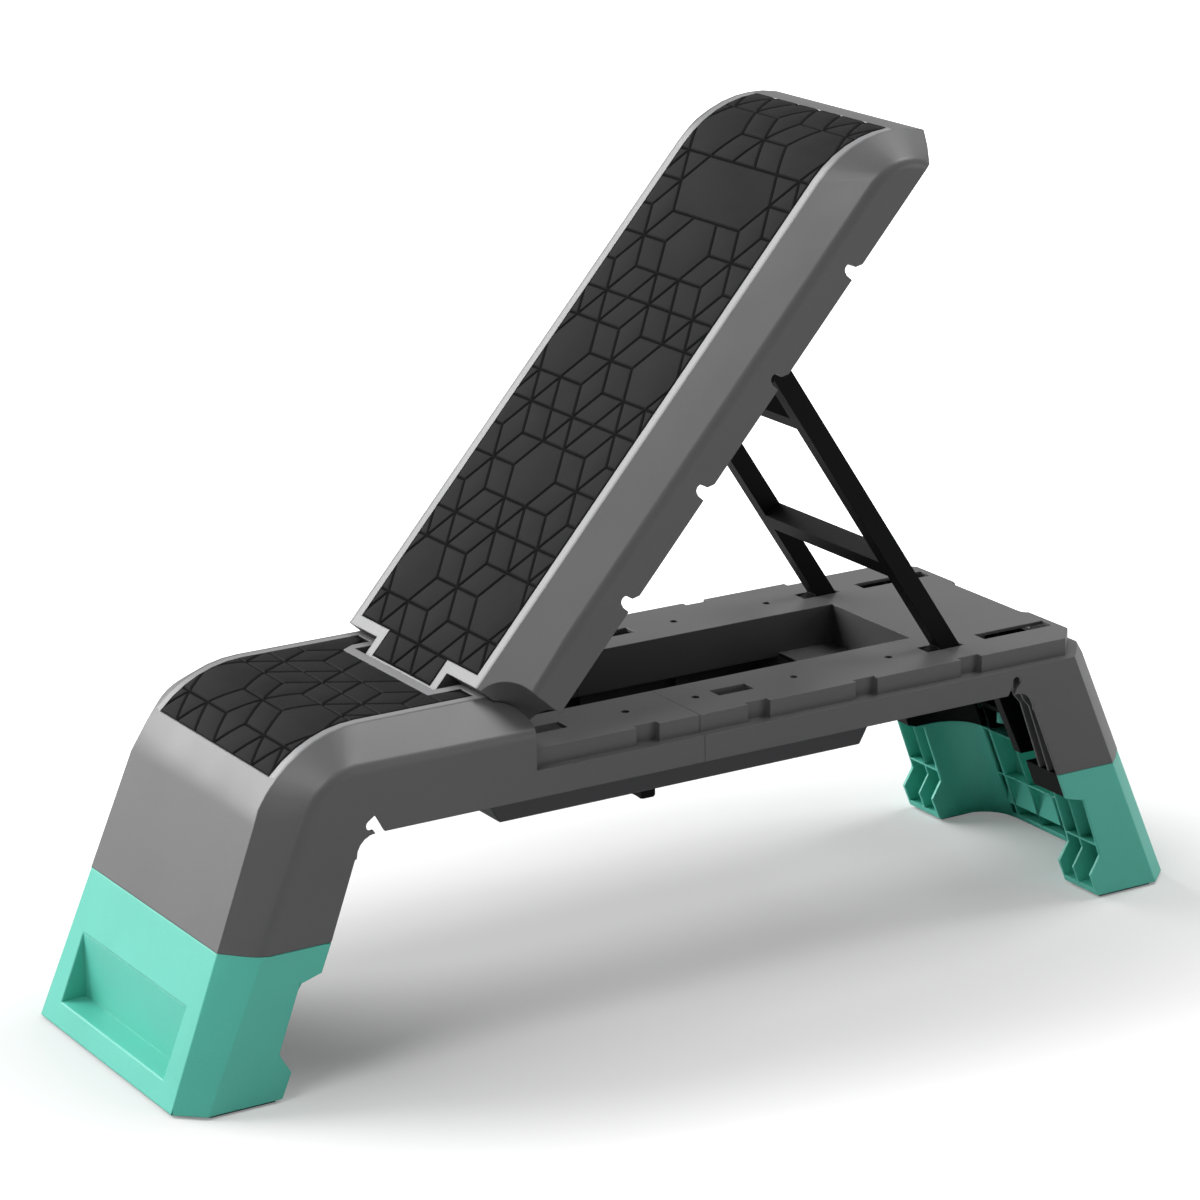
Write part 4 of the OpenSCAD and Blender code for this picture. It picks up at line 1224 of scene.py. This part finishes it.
@dataclass
class CrossScrews:
    """Pan-head screws with a cross recess, set out in rows by a geometry tree.

    Sizes are in metres and angles in degrees. Heights come from the CAD node that
    they stand for.
    """

    node: str
    body: Body
    xs: tuple[float, ...]
    ys: tuple[float, ...]
    # This finish is nearly black: painted shade of the screw holes
    finish: str = "screw"
    slot: Slot = Slot.STEEL
    head_r: float = 0.0038
    head_h: float = 0.0030
    shank_r: float = 0.0018
    recess_r: float = 0.0023
    recess_w: float = 0.0006
    recess_d: float = 0.0016
    recess_taper: float = 0.6
    tip_r: float = 0.00036
    tip_h: float = 0.0020
    turn: float = 37.0
    sides: int = 24
    crease: float = 30.0
    # The head's rounded side: share of its radius, share of its height below the top
    head_side: tuple[Span, ...] = ((0.78, -0.04), (0.94, -0.22), (1.0, -0.5), (1.0, -1.0))

    def build(self, palette: Palette) -> bpy.types.Object:
        """Make the screws of one node.

        Args:
            palette: the finishes.

        Returns:
            All the node's screws as one piece.
        """
        low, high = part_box(self.node)
        mesh = bpy.data.meshes.new(self.node + "_places")
        mesh.from_pydata([(x, y, high[2]) for x in self.xs for y in self.ys], [], [])
        piece = link(self.node + "_cross", mesh)
        one = link(self.node + "_one", self.screw(high[2] - low[2]))
        rows = piece.modifiers.new("rows", "NODES")
        rows.node_group = row_tree()
        turn = math.radians(self.turn)
        set_inputs(rows, {"Screw": one, "Turn between screws": turn, "Metal": palette.get(self.finish)})
        piece = plain(piece)
        bpy.data.objects.remove(one)
        shade_by_angle(piece.data, self.crease)
        return settle(piece, self.body, self.node)

    def screw(self, length: float) -> bpy.types.Mesh:
        """One screw, its head's top at the origin and its tip below.

        Args:
            length: from the top of the head to the tip.

        Returns:
            A closed mesh.
        """
        form = bmesh.new()
        arm, half = self.recess_r, self.recess_w
        cross = []
        for quarter in range(4):
            c, s = math.cos(quarter * math.pi / 2), math.sin(quarter * math.pi / 2)
            cross += [(x * c - y * s, x * s + y * c) for x, y in ((arm, -half), (arm, half), (half, half))]
        taper = self.recess_taper
        top = [form.verts.new((x, y, 0.0)) for x, y in cross]
        deep = [form.verts.new((x * taper, y * taper, -self.recess_d)) for x, y in cross]
        rings = [(r * self.head_r, z * self.head_h) for r, z in self.head_side]
        rings += [(self.shank_r, -self.head_h), (self.shank_r, self.tip_h - length), (self.tip_r, -length)]
        # Two corners of a ring face each corner of the cross
        step = 2 * math.pi / self.sides
        turns = [step * (i - 1.5) for i in range(self.sides)]
        loops = [[form.verts.new((r * math.cos(t), r * math.sin(t), z)) for t in turns] for r, z in rings]
        for i, (a, b) in enumerate(zip(top, top[1:] + top[:1])):
            first, second, third = (loops[0][(2 * i + k) % self.sides] for k in range(3))
            form.faces.new((a, first, second))
            form.faces.new((a, second, third, b))
            form.faces.new((a, b, deep[(i + 1) % len(deep)], deep[i]))
        form.faces.new(deep)
        for upper, lower in zip(loops, loops[1:]):
            for i in range(self.sides):
                k = (i + 1) % self.sides
                form.faces.new((upper[i], lower[i], lower[k], upper[k]))
        form.faces.new(loops[-1])
        bmesh.ops.recalc_face_normals(form, faces=form.faces)
        return mesh_of(form, self.node + "_one")


def row_tree() -> Tree:
    """Geometry tree that sets a screw on every point, each turned a little further.

    Returns:
        A tree with the screw, the turn and the metal as its inputs.
    """
    if "screw_rows" in bpy.data.node_groups:
        return bpy.data.node_groups["screw_rows"]
    inputs = (("Screw", "Object"), ("Turn between screws", "Float"), ("Metal", "Material"))
    tree = new_tree("screw_rows", inputs)
    given = add_node(tree, "NodeGroupInput").outputs
    screw = add_node(tree, "GeometryNodeObjectInfo", {"Object": given["Screw"], "As Instance": True})
    number = add_node(tree, "GeometryNodeInputIndex").outputs[0]
    sockets = {0: number, 1: given["Turn between screws"]}
    turn = add_node(tree, "ShaderNodeMath", sockets, operation="MULTIPLY").outputs[0]
    axis = add_node(tree, "ShaderNodeCombineXYZ", {2: turn}).outputs[0]
    rotation = add_node(tree, "FunctionNodeEulerToRotation", {0: axis}).outputs[0]
    points = add_node(tree, "GeometryNodeMeshToPoints", {"Mesh": given["Geometry"]}).outputs[0]
    sockets = {"Points": points, "Instance": screw.outputs["Geometry"], "Rotation": rotation}
    placed = add_node(tree, "GeometryNodeInstanceOnPoints", sockets)
    real = add_node(tree, "GeometryNodeRealizeInstances", {0: placed.outputs[0]})
    sockets = {"Geometry": real.outputs[0], "Material": given["Metal"]}
    done = add_node(tree, "GeometryNodeSetMaterial", sockets)
    add_node(tree, "NodeGroupOutput", {0: done.outputs[0]})
    return tree


@dataclass
class Fasteners:
    """All rows of screws."""

    rail_y: float = 0.1138
    tray_xs: tuple[float, ...] = (-0.067, 0.017, 0.137)
    leg_ys: tuple[float, ...] = (-0.097, -0.043, 0.043, 0.097)

    def build(self, palette: Palette) -> None:
        """Set every row of screws.

        Args:
            palette: the finishes.
        """
        rails = (-self.rail_y, self.rail_y)
        CrossScrews("tray_screws", Body.DECK, self.tray_xs, rails).build(palette)
        for node, body, ys in (
            ("bracket_screws", Body.DECK, rails),
            ("front_leg_screws", Body.FRONT_SUPPORT, self.leg_ys),
            ("rear_leg_screws", Body.REAR_SUPPORT, self.leg_ys),
        ):
            low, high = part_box(node)
            CrossScrews(node, body, ((low[0] + high[0]) / 2,), ys).build(palette)


@dataclass
class Hardware:
    """Rods, bushes, pins, screws and clips that keep the CAD's form."""

    def build(self, palette: Palette, nodes: dict) -> None:
        """Dress the remaining nodes.

        Args:
            palette: the finishes.
            nodes: the frame's node objects.
        """
        finishes = {
            "hinge_bushes": "black",
            "prop_top_rod": "black",
            "rod_sleeves": "pad",
        }
        for name, node in nodes.items():
            if node.hide_render:
                continue
            material = palette.get(finishes.get(name, "steel"))
            if not node.material_slots:
                node.data.materials.append(material)
            for slot in node.material_slots:
                slot.material = material
            LOG.info("%s: %s", name, material.name)


def main() -> None:
    """Build the step piece by piece."""
    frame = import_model()
    nodes = frame["nodes"]
    palette = Palette()
    Studio().build()
    Shells().build(palette, nodes)
    Frames().build(palette, nodes)
    Mats().build(palette)
    Fasteners().build(palette)
    Hardware().build(palette, nodes)


if __name__ == "__main__":
    logging.basicConfig(level=logging.INFO, format="%(name)s: %(message)s")
    main()
